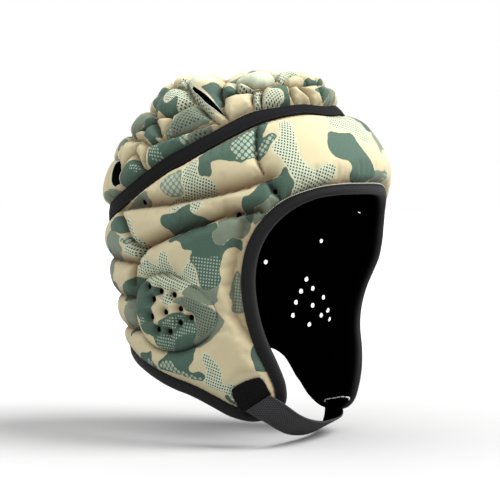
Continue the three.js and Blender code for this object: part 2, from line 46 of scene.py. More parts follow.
# Head form in millimetres, from the apex down: height, half width, reach to the front and to the back
SECTIONS = np.array([
    [88, 0, 0, 0],
    [81, 40, 60, 52],
    [67, 55, 73, 63],
    [50, 67, 88, 83],
    [30, 78, 104, 95],
    [8, 85, 113, 104],
    [-18, 88, 115, 108],
    [-45, 88, 113, 107],
    [-75, 86, 109, 99],
    [-105, 83, 104, 91],
    [-130, 80, 99, 82],
    [-155, 76, 93, 71],
    [-180, 71, 87, 59],
], float)
ROUNDNESS = 2.2
LAST_LEVEL = len(SECTIONS) - 1
ROWS_WITH_ENDS = np.vstack([SECTIONS[1] * [1, -1, -1, -1], SECTIONS, SECTIONS[-1]])

# Angles are in degrees round the head, 0 at the front, plus on the wearer's left; heights in millimetres
TAPE_LINE = np.array([
    [0, 60], [20, 61], [40, 58], [55, 53.5], [68, 45], [80, 34.5],
    [90, 23.5], [101, 11], [112, -0.5], [130, -12.5], [150, -18.5], [180, -20.5],
], float)
# Free edge of each half: round the face, the ear flap and the nape; the left flap hangs further back
RIGHT_EDGE = np.array([
    [0, -1.5], [16, -2], [29, -5], [40, -13], [48, -25], [53, -40], [55, -57], [54.5, -74],
    [52, -92], [48, -108], [42, -124], [37, -139], [36, -152], [41, -161.5], [53, -166], [65, -163],
    [75, -156], [86, -148.5], [100, -142], [118, -134], [138, -127], [159, -125], [180, -124],
], float)
LEFT_EDGE = np.array([
    [0, -1.5], [16, -2.5], [29, -7], [36, -15], [39, -26], [40, -38], [43, -51], [49, -63],
    [54, -75], [56.5, -90], [55, -105], [49, -121], [44, -136], [42.5, -149], [44.5, -159], [51, -166],
    [62, -169.5], [73, -168.5], [82, -162], [88.5, -151.5], [94, -141], [101, -131], [112, -126],
    [135, -125], [159, -125], [180, -124],
], float)


def catmull(a, b, c, d, f):
    """Smooth step by a share f from b to c, with a before them and d after."""
    return 0.5 * (2 * b + (c - a) * f + (2 * a - 5 * b + 4 * c - d) * f**2 + (3 * b - a - 3 * c + d) * f**3)


def through(rows, steps, before=None, after=None):
    """Smooth line through rows of numbers, carried on straight unless a row before or after is given."""
    before = 2 * rows[0] - rows[1] if before is None else before
    after = 2 * rows[-1] - rows[-2] if after is None else after
    ends = np.vstack([before, rows, after])
    along = np.linspace(0, len(rows) - 1, steps)
    row = np.minimum(along.astype(int), len(rows) - 2)
    return catmull(*[ends[row + k] for k in range(4)], (along - row)[:, None])


def run_length(points):
    """Length along a line of points, from its start."""
    return np.concatenate([[0], np.cumsum(np.linalg.norm(np.diff(points, axis=0), axis=1))])


def along_line(spot, length, points):
    """Points at lengths along a line."""
    return np.stack([np.interp(spot, length, points[:, axis]) for axis in range(3)], -1)


def section(level):
    """Height, half width and reaches of the form at a level, which counts the rows from the apex."""
    level = np.clip(np.asarray(level, float), 0, LAST_LEVEL)
    row = np.minimum(level.astype(int), LAST_LEVEL - 1)
    rows = [ROWS_WITH_ENDS[row + k] for k in range(4)]
    return catmull(*rows, (level - row)[..., None])


LEVEL_TABLE = np.linspace(0, LAST_LEVEL, 3001)
HEIGHT_TABLE = section(LEVEL_TABLE)[:, 0]
STEP_ROUND = 0.5
STEP_DOWN = 0.02


def level_of(z):
    """Level of the form at a height."""
    return np.interp(-np.asarray(z, float), -HEIGHT_TABLE, LEVEL_TABLE)


def signed_power(value, power):
    return np.sign(value) * np.abs(value) ** power


def form(angle, level):
    """Point on the head form."""
    z, half, front, back = np.moveaxis(section(level), -1, 0)
    turn = np.radians(angle)
    reach = np.where(np.cos(turn) > 0, front, back)
    x = half * signed_power(np.sin(turn), 2 / ROUNDNESS)
    y = -reach * signed_power(np.cos(turn), 2 / ROUNDNESS)
    return np.stack(np.broadcast_arrays(x, y, z), -1)


def unit(vectors):
    return vectors / np.maximum(np.linalg.norm(vectors, axis=-1, keepdims=True), 1e-9)


def normal(angle, level):
    """Outward normal of the form, from small steps round it and down it."""
    level = np.maximum(np.asarray(level, float), STEP_DOWN)
    around = form(angle + STEP_ROUND, level) - form(angle - STEP_ROUND, level)
    down = form(angle, np.minimum(level + STEP_DOWN, LAST_LEVEL)) - form(angle, level - STEP_DOWN)
    return unit(np.cross(down, around))


def shell(angle, level, height):
    """Point at a height out from the form."""
    return form(angle, level) + normal(angle, level) * np.asarray(height, float)[..., None]


def place_of(points):
    """Angle and level on the form that belong to a point."""
    level = level_of(points[..., 2])
    _, half, front, back = np.moveaxis(section(level), -1, 0)
    x, y = points[..., 0], points[..., 1]
    reach = np.where(y < 0, front, back)
    sine = signed_power(x / np.maximum(half, 1e-6), ROUNDNESS / 2)
    cosine = signed_power(-y / np.maximum(reach, 1e-6), ROUNDNESS / 2)
    return np.degrees(np.arctan2(sine, cosine)), level


def shoulder(share):
    """Rounded rise of a full pad: 0 at a seam, 1 at its reach and beyond."""
    return np.sqrt(np.clip(1 - (1 - np.clip(share, 0, 1)) ** 2, 0, 1))


def valley(share):
    """Soft rise: 0 at a seam, 1 at its reach and beyond."""
    return (1 - np.cos(math.pi * np.clip(share, 0, 1))) / 2


def blend(low, high, share):
    """A value part of the way from one to another."""
    return low + (high - low) * share


def shade(distance, strength, reach):
    """Strength of shade painted by a seam: strongest at the seam, gone at its reach."""
    return strength * (1 - shoulder(distance / reach))


def dimple(distance, depth, reach):
    """Depth of a soft round dip."""
    return depth * np.exp(-((distance / reach) ** 2))


def fading(distance, reach):
    """1 at a seam, fading away from it."""
    return np.exp(-np.clip(distance, 0, FAR_OFF) / reach)


def away_from(points, angle, z):
    """Distance of points of the form from a place on it."""
    return np.linalg.norm(points - form(angle, level_of(z)), axis=-1)


# The tape's half width in front and over the ears, and the angles over which it widens
TAPE_HALF_FRONT = 4.6
TAPE_HALF_SIDE = 6.4
TAPE_WIDENS = 32
TAPE_WIDENING = 30
FLANGE_MARGIN = 0.3


def tape_height(angle):
    """Height of the tape's middle line at an angle."""
    a = np.abs((np.asarray(angle, float) + 540) % 360 - 180)
    angles, heights = TAPE_LINE.T
    slopes = np.zeros(len(angles))
    slopes[1:-1] = (heights[2:] - heights[:-2]) / (angles[2:] - angles[:-2])
    row = np.clip(np.searchsorted(angles, a, side="left") - 1, 0, len(angles) - 2)
    span = angles[row + 1] - angles[row]
    f = (a - angles[row]) / span
    start = heights[row] * (1 + 2 * f) * (1 - f) ** 2 + slopes[row] * span * f * (1 - f) ** 2
    return start + heights[row + 1] * f**2 * (3 - 2 * f) - slopes[row + 1] * span * f**2 * (1 - f)


def tape_slant(angle):
    """How much longer the tape's line is than its run round the head."""
    level = level_of(tape_height(angle))
    run = np.linalg.norm(form(angle + 1, level) - form(angle - 1, level), axis=-1)
    return np.hypot(run, tape_height(angle + 1) - tape_height(angle - 1)) / run


def tape_half(angle):
    """Half of the tape's width: it is widest over the ears and the nape."""
    return blend(TAPE_HALF_FRONT, TAPE_HALF_SIDE, valley((np.abs(angle) - TAPE_WIDENS) / TAPE_WIDENING))


def beside_tape(angle, z, direction):
    """Distance from the tape's flange along the cloth, below it with -1 and above it with 1."""
    return direction * (z - tape_height(angle)) / tape_slant(angle) - tape_half(angle) - FLANGE_MARGIN


def half_edge(rows, steps):
    """Free edge of one half, from the front to the back."""
    mirrored_front = rows[1] * [-1, 1]
    mirrored_back = [360 - rows[-2][0], rows[-2][1]]
    return through(rows, steps, mirrored_front, mirrored_back)


def closed_edge(steps):
    """Places along the free edge, from the front round the wearer's left, the back and the right."""
    left = half_edge(LEFT_EDGE, steps)
    right = half_edge(RIGHT_EDGE, steps)[-2:0:-1]
    angle = np.concatenate([left[:, 0], -right[:, 0]])
    z = np.concatenate([left[:, 1], right[:, 1]])
    return even_places(angle, level_of(z), steps)


def even_places(angle, level, steps):
    """The same closed line with its places at equal distances."""
    points = form(angle, level)
    closed = np.vstack([points, points[:1]])
    length = run_length(closed)
    return place_of(along_line(np.linspace(0, length[-1], steps, endpoint=False), length, closed))


def inset_line(angle, level, inset, height):
    """Points beside a closed line on the form: a distance into the panel and a height out from the form."""
    points = form(angle, level)
    along = unit(np.roll(points, -1, 0) - np.roll(points, 1, 0))
    inward = unit(np.cross(normal(angle, level), along))
    return shell(*place_of(points + inward * inset), height)


POINTS_AT_ONCE = 4000


def nearest(points, line):
    """Distance from each point to the closest point of a dense line, and that point's number."""
    flat = points.reshape(-1, points.shape[-1])
    distance = np.empty(len(flat))
    number = np.empty(len(flat), int)
    for start in range(0, len(flat), POINTS_AT_ONCE):
        part = slice(start, start + POINTS_AT_ONCE)
        gap = flat[part, None, :] - line[None]
        square = np.einsum("ijk,ijk->ij", gap, gap)
        number[part] = square.argmin(1)
        distance[part] = np.sqrt(square.min(1))
    return distance.reshape(points.shape[:-1]), number.reshape(points.shape[:-1])


def inside_polygon(points, polygon):
    """Which points of a plane lie inside a polygon."""
    x, y = points[..., 0], points[..., 1]
    inside = np.zeros(x.shape, bool)
    for (x0, y0), (x1, y1) in zip(polygon, np.roll(polygon, -1, 0)):
        crosses = (y0 > y) != (y1 > y)
        if y0 != y1:
            inside ^= crosses & (x < x0 + (y - y0) * (x1 - x0) / (y1 - y0))
    return inside


def line_distance(points, line):
    """Distance to a polyline in a plane, and the side of it: plus on the left."""
    best = np.full(points.shape[:-1], 1e9)
    side = np.zeros(points.shape[:-1])
    for a, b in zip(line[:-1], line[1:]):
        step = b - a
        share = np.clip(((points - a) @ step) / (step @ step), 0, 1)
        gap = points - a - share[..., None] * step
        distance = np.hypot(gap[..., 0], gap[..., 1])
        closer = distance < best
        best = np.where(closer, distance, best)
        side = np.where(closer, np.sign(step[0] * gap[..., 1] - step[1] * gap[..., 0]), side)
    return best, side


def depth_in(points, polygon):
    """Signed distance into a polygon: plus inside."""
    distance, _ = line_distance(points, np.vstack([polygon, polygon[:1]]))
    return np.where(inside_polygon(points, polygon), distance, -distance)


# The photograph's view: its pixels are those of a frame of 500 by 500
VIEW_AZIMUTH = math.radians(-52)
VIEW_ELEVATION = math.radians(2.5)
VIEW_DISTANCE = 1500
PIXELS_PER_MM = 1.33
FRAME_MIDDLE = 250
ORIGIN_PIXEL = (243, 190)
BACKWARD = np.array([
    math.sin(VIEW_AZIMUTH) * math.cos(VIEW_ELEVATION),
    -math.cos(VIEW_AZIMUTH) * math.cos(VIEW_ELEVATION),
    math.sin(VIEW_ELEVATION),
])
RIGHTWARD = np.array([math.cos(VIEW_AZIMUTH), math.sin(VIEW_AZIMUTH), 0])
UPWARD = np.cross(BACKWARD, RIGHTWARD)
TO_MIDDLE = RIGHTWARD * (FRAME_MIDDLE - ORIGIN_PIXEL[0]) + UPWARD * (ORIGIN_PIXEL[1] - FRAME_MIDDLE)
AIM = TO_MIDDLE / PIXELS_PER_MM
EYE = AIM + BACKWARD * VIEW_DISTANCE


def pixel_of(points):
    """Pixel of the photograph at which a point shows."""
    gap = points - EYE
    scale = -PIXELS_PER_MM * VIEW_DISTANCE / (gap @ BACKWARD)
    return np.stack([FRAME_MIDDLE + scale * (gap @ RIGHTWARD), FRAME_MIDDLE - scale * (gap @ UPWARD)], -1)


# Unrolled cloth: millimetres round the head and up it, so that prints and grooves keep their size
UNROLL_ANGLES = np.linspace(-180, 180, 721)
UNROLL_LEVEL = float(level_of(-45))
AROUND = run_length(form(UNROLL_ANGLES, UNROLL_LEVEL))
AROUND -= AROUND[len(AROUND) // 2]
UP = run_length(form(90.0, LEVEL_TABLE))
UP = np.interp(UNROLL_LEVEL, LEVEL_TABLE, UP) - UP
HEAD_ROUND = AROUND[-1] - AROUND[0]


def unroll(angle, level):
    """Place on the unrolled cloth."""
    round_head, up_head = np.interp(angle, UNROLL_ANGLES, AROUND), np.interp(level, LEVEL_TABLE, UP)
    return np.stack(np.broadcast_arrays(round_head, up_head), -1)


def unroll_line(rows):
    """A line of angles and heights on the unrolled cloth."""
    rows = np.asarray(rows, float)
    return unroll(rows[:, 0], level_of(rows[:, 1]))


# Heights out from the form
SIDE_TOP = 2.2
FOREHEAD_TOP = 4.0
NAPE_DROP = 3.0
SEAM_FLOOR = -4.0
BINDING_FLOOR = -3.5
PANEL_INSIDE = -10.4
LINING_OUTSIDE = -10.8
LINING_INSIDE = -11.9

# Free edge: width of its binding, how far panel and lining are cut back under it, and its line
BINDING_WIDTH = 10.0
PANEL_TRIM = 5.5
LINING_TRIM = 7.5
EDGE_STEPS = 640
EDGE_ANGLE, EDGE_LEVEL = closed_edge(EDGE_STEPS)
EDGE_POINTS = form(EDGE_ANGLE, EDGE_LEVEL)
# Outline of each half of the panel by angles and heights, carried past the front, the back and the top
HALF_STEPS = 200
PAST_BACK = [[181, LEFT_EDGE[-1][1]], [181, 150], [-1, 150], [-1, LEFT_EDGE[0][1]]]
LEFT_HALF = np.vstack([half_edge(LEFT_EDGE, HALF_STEPS), PAST_BACK])
RIGHT_HALF = np.vstack([half_edge(RIGHT_EDGE, HALF_STEPS), PAST_BACK])

# Sewn grooves of each side: depth under the form, reach of the slope above or behind the line, reach and
# shape of the other slope, and places of angle and height
GROOVES = [
    (3.6, 4, 9, shoulder, [[52, 53], [54, 40], [55, 28], [54, 21], [51, 9], [47, 0], [43, -8]]),
    (4.2, 14, 5, shoulder, [[50, 8], [60, 2], [69, -2], [80, -6], [90, -10], [114, -14], [126, -17]]),
    (5.2, 13, 5, shoulder, [[55, -15], [66, -17.5], [72, -21], [81, -27], [89, -33], [101, -43]]),
    (5.0, 7, 8, shoulder, [
        [121, -8], [117, -17], [112, -24], [108, -35], [101, -43], [106, -54], [109, -68],
    ]),
    (3.2, 9, 24, valley, [[59, -23], [62, -41], [64, -66], [62, -88], [58, -98], [53, -108]]),
    (4.5, 10, 6, shoulder, [[106, -54], [130, -53], [155, -52], [180, -52]]),
    (4.5, 10, 6, shoulder, [[110, -80], [130, -80], [155, -80], [180, -80]]),
    (4.5, 10, 6, shoulder, [[106, -104], [130, -104], [155, -104], [180, -104]]),
]
# Painted shade of a groove's other slope, and the depth from which a groove's painted shade is full
OTHER_SLOPE_SHADE = 0.6
FULL_SHADE_DEPTH = 4.5

# Where the forehead and the nape begin and how far they blend, in degrees
FOREHEAD_END = 50
FOREHEAD_BLEND = 14
NAPE_START = 108
NAPE_BLEND = 22
# Reaches of the pads' shoulders by the tape, by the tape on the forehead, and by the binding
TAPE_SHOULDER = 8
FOREHEAD_SHOULDER = 5
EDGE_SHOULDER = 9
# Strength and reach of the shade painted into the creases
TAPE_SHADE = (0.5, 6)
EDGE_SHADE = 0.7
EDGE_SHADE_REACH = 8
FLAP_SHADE_REACH = 13.0
EAR_SHADE = (0.6, 4)
# The flap's front strip: its angle and height, and how far each blends
FLAP_BACK = 76
FLAP_BLEND = 18
FLAP_HEIGHT = -18
FLAP_HEIGHT_BLEND = 20
# Uneven pads: height, then length and seed of the waves
PAD_WAVE = 0.5
PAD_WAVES = (16, 3)
# Gathers along a seam: height, reach, turns to the millimetre and how far they wander
GATHER_HEIGHT = 0.22
GATHER_REACH = 5
GATHER_TURN = 1.15
GATHER_WANDER = 2.2
GATHER_WAVES = (9, 5)

# Vent eyelets by angle and height: four on the right, five on the left
VENTS = [
    (-47.5, 0.6), (-63, -16), (-103.5, -8), (-101, -43),
    (47.5, 0.6), (63, -16.9), (103.5, -8), (86.6, -40.9), (111.2, -58.7),
]
# The far vent that lies in a groove, whose cloth is lower
GROOVE_VENT = (63, -16.9)
GROOVE_VENT_STAND = -5.5
VENT_RADIUS = 1.9
VENT_RIM = 0.6
VENT_DIMPLE = (3.2, 3.4)
VENT_PULL_REACH = 32.0
FAR_VENT_ANGLE = 60
SIGHT = -BACKWARD
SIGHT_STEPS = 8
LEAST_SLOPE = 0.15
RING_STEPS = 40

# Hook-and-loop patch on the right flap: its place, half sizes and turn
PATCH = {"angle": -53.5, "z": -145.3, "along": 12, "across": 12, "turn": 25, "lift": 2.4, "thick": 1.6}
# The panel's cloth is held flat under it, as far as this share of its half size
PATCH_HOLD = 1.5

# Ear pad: an egg on the side of the head, blunt to the back; perforations by millimetres forward and up
EAR_PLACE = (89, -88)
EAR_LONG = 39
EAR_TALL = 28
EAR_TAPER = 0.2
EAR_TOP = 4.0
EAR_FLOOR = -3.4
EAR_INSIDE = -9.6
EAR_TUCK = 1.2
# The seam rises to the front: by how much, and from where, in millimetres forward and up, over which blend
EAR_FRONT_LIFT = 5.2
EAR_FRONT = (-4, 26)
EAR_LOW = (-22, 14)
# Slopes of the panel above and below the ear pad, and how far an ear reaches through the head
EAR_UPPER_SLOPE = 11
EAR_LOWER_SLOPE = 6
EAR_REACH = 40
EAR_HOLES = {
    "right": [
        (-21, 19), (-9, 16), (3, 14), (-17, 10), (8, 4), (-6, 1),
        (17, -2), (-20, -3), (7, -6), (-14, -12), (-3, -13),
    ],
    "left": [
        (-7.6, 17), (-1, 10), (-12, 7.3), (10, 3.4), (-16, -1.6), (0, -3.3),
        (15.7, -6.5), (-18, -12), (9, -10.7), (18, -13.4), (-2, -18.4),
    ],
}
HOLE_RADIUS = 2.0
HOLE_DIMPLE = (4.6, 3.6)
# Strength and reach of the shade painted round each hole
HOLE_SHADE = (0.8, 3.8)
RIGHT_HOLE_SLANT = 4.0
HOLE_SLANT_REACH = 5
# The ear pad's grid is this much larger than its outline
EAR_MARGIN = 2
EAR_TALL_SHARE = 1.2
# Reach of the ear pad's own shoulder: long below, shorter by a part above
EAR_SHOULDER = 12
EAR_SHOULDER_CUT = 5
EAR_SHOULDER_RISE = 0.3
# Strength of the shade painted round the pad's rim
EAR_RIM_SHADE = 0.5


def ear_frame(side):
    """Middle of an ear pad on the form, with the directions out, up and forward."""
    angle, level = side * EAR_PLACE[0], level_of(EAR_PLACE[1])
    out = normal(angle, level)
    up = unit(np.array([0, 0, 1]) - out * out[2])
    forward = unit(np.array([0, -1, 0]) + out * out[1])
    return {"middle": form(angle, level), "out": out, "up": up, "forward": forward}


EARS = {"right": ear_frame(-1), "left": ear_frame(1)}


def ear_point(ear, ahead, above):
    """Point of an ear's plane, by millimetres forward and up."""
    ahead, above = np.asarray(ahead, float), np.asarray(above, float)
    return ear["middle"] + ahead[..., None] * ear["forward"] + above[..., None] * ear["up"]


def ear_plane(ear, points):
    """Millimetres forward and up of points, seen from the side of an ear."""
    gap = points - ear["middle"]
    return np.stack([gap @ ear["forward"], gap @ ear["up"]], -1)


def ear_floor(plane):
    """Height of the seam round an ear pad: shallow where the pad runs out to the front."""
    ahead, above = np.moveaxis(plane, -1, 0)
    front = valley((ahead - EAR_FRONT[0]) / EAR_FRONT[1])
    return EAR_FLOOR + EAR_FRONT_LIFT * front * valley((above - EAR_LOW[0]) / EAR_LOW[1])


def ear_seam_share(floor_height):
    """How far the seam round an ear pad is sunk, from 0 to 1."""
    return np.clip((SIDE_TOP - floor_height) / (SIDE_TOP - EAR_FLOOR), 0, 1)


EGG_TURN = np.linspace(0, 2 * math.pi, 240, endpoint=False)
EGG = np.stack([
    EAR_LONG * np.cos(EGG_TURN),
    EAR_TALL * np.sin(EGG_TURN) * (1 - EAR_TAPER * np.cos(EGG_TURN)),
], -1)


def away_from_ear(ear, points):
    """Distance from the outline of an ear pad on its own side of the head, minus inside it."""
    away = -depth_in(ear_plane(ear, points), EGG)
    return np.where((points - ear["middle"]) @ ear["out"] > -EAR_REACH, away, FAR_OFF)


def ring_places(centre, across, up, radius):
    """Places on the form along a round hole."""
    turn = np.linspace(0, 2 * math.pi, RING_STEPS, endpoint=False)
    return place_of(centre + radius * (np.cos(turn)[:, None] * across + np.sin(turn)[:, None] * up))


def vent_ring(angle, z, radius):
    """Places along the rim of a vent."""
    level = level_of(z)
    out = normal(angle, level)
    up = unit(np.array([0, 0, 1]) - out * out[2])
    return ring_places(form(angle, level), np.cross(up, out), up, radius)


def along_sight(angle, level, height, share, stand=0.0):
    """Places at a height inside the wall, moved by a share to where the line of sight comes out there."""
    start = form(angle, level)
    rim = start + normal(angle, level) * stand
    place = angle, level
    for _ in range(SIGHT_STEPS):
        out = normal(*place)
        miss = form(*place) + height * out - rim
        miss = miss - (miss @ SIGHT)[..., None] * SIGHT
        slope = np.maximum(out @ SIGHT, LEAST_SLOPE)
        lean = miss - (np.einsum("...k,...k->...", miss, out) / slope)[..., None] * SIGHT
        place = place_of(form(*place) - lean)
    return place_of(start + share[..., None] * (form(*place) - start))


def slanted_inside(angle, level, height):
    """Places inside the wall, pulled along the line of sight round the far vents, so that light shows."""
    points = form(angle, level)
    share = np.zeros(angle.shape)
    stand = np.zeros(angle.shape + (1,))
    for vent in VENTS:
        if vent[0] > FAR_VENT_ANGLE:
            away = away_from(points, *vent)
            pull = 1 - valley((away - VENT_RADIUS - VENT_RIM) / VENT_PULL_REACH)
            stand[pull > share] = GROOVE_VENT_STAND if vent == GROOVE_VENT else 0
            share = np.maximum(share, pull)
    return along_sight(angle, level, height, share, stand)


def edge_depth(angle, points):
    """Distance into the panel from the free edge."""
    distance, _ = nearest(points, EDGE_POINTS)
    flat = np.stack([np.abs(angle), points[..., 2]], -1)
    inside = np.where(angle > 0, inside_polygon(flat, LEFT_HALF), inside_polygon(flat, RIGHT_HALF))
    return np.where(inside, distance, -distance)


def slow_noise(plane, scale, seed):
    """Smooth waves in a plane, from -1 to 1."""
    waves = np.random.default_rng(seed).normal(size=(5, 3))
    phase = [plane[..., 0] * w[0] / scale + plane[..., 1] * w[1] / scale + 6 * w[2] for w in waves]
    return sum(np.sin(p) for p in phase) / len(waves)


def side_height(angle, level):
    """Height of the side pads, the shade painted into their creases and distance from the nearest seam."""
    points = form(angle, level)
    z = points[..., 2]
    plane = unroll(np.abs(angle), level)
    front = valley((FOREHEAD_END - np.abs(angle)) / FOREHEAD_BLEND)
    nape = valley((np.abs(angle) - NAPE_START) / NAPE_BLEND)
    top = blend(SIDE_TOP, FOREHEAD_TOP, front) - NAPE_DROP * nape + PAD_WAVE * slow_noise(plane, *PAD_WAVES)
    from_tape = beside_tape(angle, z, -1)
    height = blend(SEAM_FLOOR, top, shoulder(from_tape / (TAPE_SHOULDER + FOREHEAD_SHOULDER * front)))
    # Shade painted into the print's colour: darkest by the tape, the binding, the grooves and the ear pads
    painted_shade = shade(from_tape, *TAPE_SHADE)
    from_edge = edge_depth(angle, points) - BINDING_WIDTH
    height = np.minimum(height, blend(BINDING_FLOOR, top, shoulder(from_edge / EDGE_SHOULDER)))
    flap = valley((FLAP_BACK - np.abs(angle)) / FLAP_BLEND) * valley((FLAP_HEIGHT - z) / FLAP_HEIGHT_BLEND)
    painted_shade = np.maximum(painted_shade, shade(from_edge, EDGE_SHADE, EDGE_SHADE_REACH + FLAP_SHADE_REACH * flap))
    seam = np.minimum(from_tape, from_edge)
    for depth, left, right, slope, rows in GROOVES:
        distance, turn = line_distance(plane, unroll_line(rows))
        rise = np.where(turn > 0, valley(distance / left), slope(distance / right))
        height = np.minimum(height, blend(-depth, top, rise))
        dark = np.where(turn > 0, 1.0, OTHER_SLOPE_SHADE) * min(1, depth / FULL_SHADE_DEPTH)
        painted_shade = np.maximum(painted_shade, dark * (1 - rise))
        seam = np.minimum(seam, distance)
    for ear in EARS.values():
        ear_place = ear_plane(ear, points)
        away = away_from_ear(ear, points)
        above, below = valley(away / EAR_UPPER_SLOPE), shoulder(away / EAR_LOWER_SLOPE)
        floor_height = ear_floor(ear_place)
        height = np.minimum(height, blend(floor_height, top, np.where(ear_place[..., 1] > 0, above, below)))
        painted_shade = np.maximum(painted_shade, shade(away, *EAR_SHADE) * ear_seam_share(floor_height))
        seam = np.minimum(seam, away)
    for vent in VENTS:
        away = away_from(points, *vent)
        height = height - dimple(away, *VENT_DIMPLE)
        seam = np.minimum(seam, away - VENT_RADIUS)
    from_patch = away_from(points, PATCH["angle"], PATCH["z"]) - PATCH_HOLD * PATCH["along"]
    gather = fading(from_edge, GATHER_REACH) + fading(from_tape, GATHER_REACH)
    wave = np.sin(plane[..., 0] * GATHER_TURN + GATHER_WANDER * slow_noise(plane, *GATHER_WAVES))
    return height + GATHER_HEIGHT * gather * wave, painted_shade, np.minimum(seam, from_patch)


# Meshes start as a grid primitive whose points are then moved to their places on the head
MERGE_DISTANCE = 2e-6
FIRST_THICKNESS = 0.004
SMOOTH_ANGLE = 50


def deselect():
    for obj in bpy.context.selected_objects:
        obj.select_set(False)


def activate(obj):
    """Makes a piece the one that the next tools work on."""
    deselect()
    obj.select_set(True)
    bpy.context.view_layer.objects.active = obj


def points_of(obj):
    """Points of a mesh, in metres."""
    flat = np.empty(len(obj.data.vertices) * 3)
    obj.data.vertices.foreach_get("co", flat)
    return flat.reshape(-1, 3)


def grid_mesh(name, columns, rows):
    """A grid of quads with the row and column number of each of its points."""
    deselect()
    bpy.ops.mesh.primitive_grid_add(x_subdivisions=columns, y_subdivisions=rows, size=2)
    obj = bpy.context.active_object
    obj.name = name
    obj.data.name = name
    flat = points_of(obj)
    column = np.rint((flat[:, 0] + 1) / 2 * columns).astype(int)
    row = np.rint((flat[:, 1] + 1) / 2 * rows).astype(int)
    return obj, row, column


def put_points(obj, points):
    """Moves the points of a mesh to places given in millimetres."""
    obj.data.vertices.foreach_set("co", (points * MM).astype(np.float32).ravel())
    obj.data.update()


def put_attribute(obj, name, values):
    """Keeps a number or a vector for each point of a mesh."""
    kind = "FLOAT_VECTOR" if values.ndim == 2 else "FLOAT"
    layer = obj.data.attributes.new(name, kind, "POINT")
    layer.data.foreach_set("vector" if values.ndim == 2 else "value", values.astype(np.float32).ravel())


def put_cloth_map(obj, plane):
    """Unrolled millimetres as the piece's own UV map."""
    loops = np.empty(len(obj.data.loops), int)
    obj.data.loops.foreach_get("vertex_index", loops)
    obj.data.uv_layers[0].name = "cloth"
    obj.data.uv_layers[0].data.foreach_set("uv", plane[loops].astype(np.float32).ravel())


def cut_and_merge(obj, keep):
    """Removes the points outside a panel and joins the points that meet."""
    activate(obj)
    bpy.ops.object.mode_set(mode="EDIT")
    bpy.ops.mesh.select_mode(type="VERT")
    bpy.ops.mesh.select_all(action="DESELECT")
    bpy.ops.object.mode_set(mode="OBJECT")
    obj.data.vertices.foreach_set("select", ~keep)
    bpy.ops.object.mode_set(mode="EDIT")
    bpy.ops.mesh.delete(type="VERT")
    bpy.ops.mesh.select_all(action="SELECT")
    bpy.ops.mesh.delete_loose()
    bpy.ops.mesh.select_all(action="SELECT")
    bpy.ops.mesh.remove_doubles(threshold=MERGE_DISTANCE)
    bpy.ops.mesh.select_all(action="SELECT")
    bpy.ops.mesh.normals_make_consistent(inside=False)
    bpy.ops.object.mode_set(mode="OBJECT")


def thicken(obj):
    """Gives a skin its inner side, at the places kept in an attribute, and a closed rim."""
    solid = obj.modifiers.new("thickness", "SOLIDIFY")
    solid.thickness = FIRST_THICKNESS
    solid.offset = -1
    solid.material_offset = 1
    solid.material_offset_rim = 1
    bpy.context.view_layer.objects.active = obj
    bpy.ops.object.modifier_apply(modifier=solid.name)
    flat = points_of(obj).ravel()
    inner = np.empty(flat.shape)
    obj.data.attributes["inner"].data.foreach_get("vector", inner)
    half = len(obj.data.vertices) // 2 * 3
    flat[half:] = inner[half:]
    obj.data.vertices.foreach_set("co", flat)
    obj.data.attributes.remove(obj.data.attributes["inner"])
    obj.data.update()


def smooth(obj):
    activate(obj)
    bpy.ops.object.shade_smooth_by_angle(angle=math.radians(SMOOTH_ANGLE))


def cloth_piece(name, skin, inside, plane, layers, keep):
    """A skin cut to its outline, with its inner side, cloth map and layers."""
    obj, row, column = grid_mesh(name, skin.shape[1] - 1, skin.shape[0] - 1)
    put_points(obj, skin[row, column])
    put_attribute(obj, "inner", inside[row, column] * MM)
    put_cloth_map(obj, plane[row, column])
    for layer, values in layers.items():
        put_attribute(obj, layer, values[row, column])
    cut_and_merge(obj, keep[row, column])
    return obj


# Cloth pass: each printed skin swells under pressure between its seams, on every second row and column,
# at 20 times life size; a ring overlaps itself by some columns
PUFF_STEP = 2
PUFF_SCALE = 20 * MM
PUFF_WRAP = 8
PUFF_FRAMES = 20
PUFF_QUALITY = 5
PUFF_PRESSURE = 4.0
PUFF_SLACK = 0.025
PUFF_CAP = 1.6
SEAM_HOLD = 2.0


def cloth_moves(flat, held):
    """How far the points of a coarse skin move, in millimetres, when puffed as cloth held at its seams."""
    obj, row, column = grid_mesh("puff", flat.shape[1] - 1, flat.shape[0] - 1)
    start = flat[row, column] * PUFF_SCALE
    obj.data.vertices.foreach_set("co", start.astype(np.float32).ravel())
    obj.data.update()
    facing = np.empty(len(start) * 3)
    obj.data.vertex_normals.foreach_get("vector", facing)
    outward = np.sign((facing.reshape(-1, 3) * (start - start.mean(0) * [0, 0, 1])).sum(1).mean())
    group = obj.vertex_groups.new(name="held")
    group.add(np.flatnonzero(held[row, column]).tolist(), 1.0, "REPLACE")
    cloth = obj.modifiers.new("puff", "CLOTH")
    cloth.settings.quality = PUFF_QUALITY
    cloth.settings.vertex_group_mass = group.name
    cloth.settings.use_pressure = True
    cloth.settings.uniform_pressure_force = PUFF_PRESSURE * outward
    cloth.settings.shrink_min = -PUFF_SLACK
    cloth.settings.effector_weights.gravity = 0
    cloth.collision_settings.use_collision = False
    cloth.point_cache.frame_start = 1
    cloth.point_cache.frame_end = PUFF_FRAMES
    for frame_number in range(1, PUFF_FRAMES + 1):
        bpy.context.scene.frame_set(frame_number)
    activate(obj)
    bpy.ops.object.modifier_apply(modifier=cloth.name)
    moves = np.zeros(flat.shape)
    moves[row, column] = (points_of(obj) - start) / PUFF_SCALE
    mesh = obj.data
    bpy.data.objects.remove(obj)
    bpy.data.meshes.remove(mesh)
    bpy.context.scene.frame_set(1)
    return moves


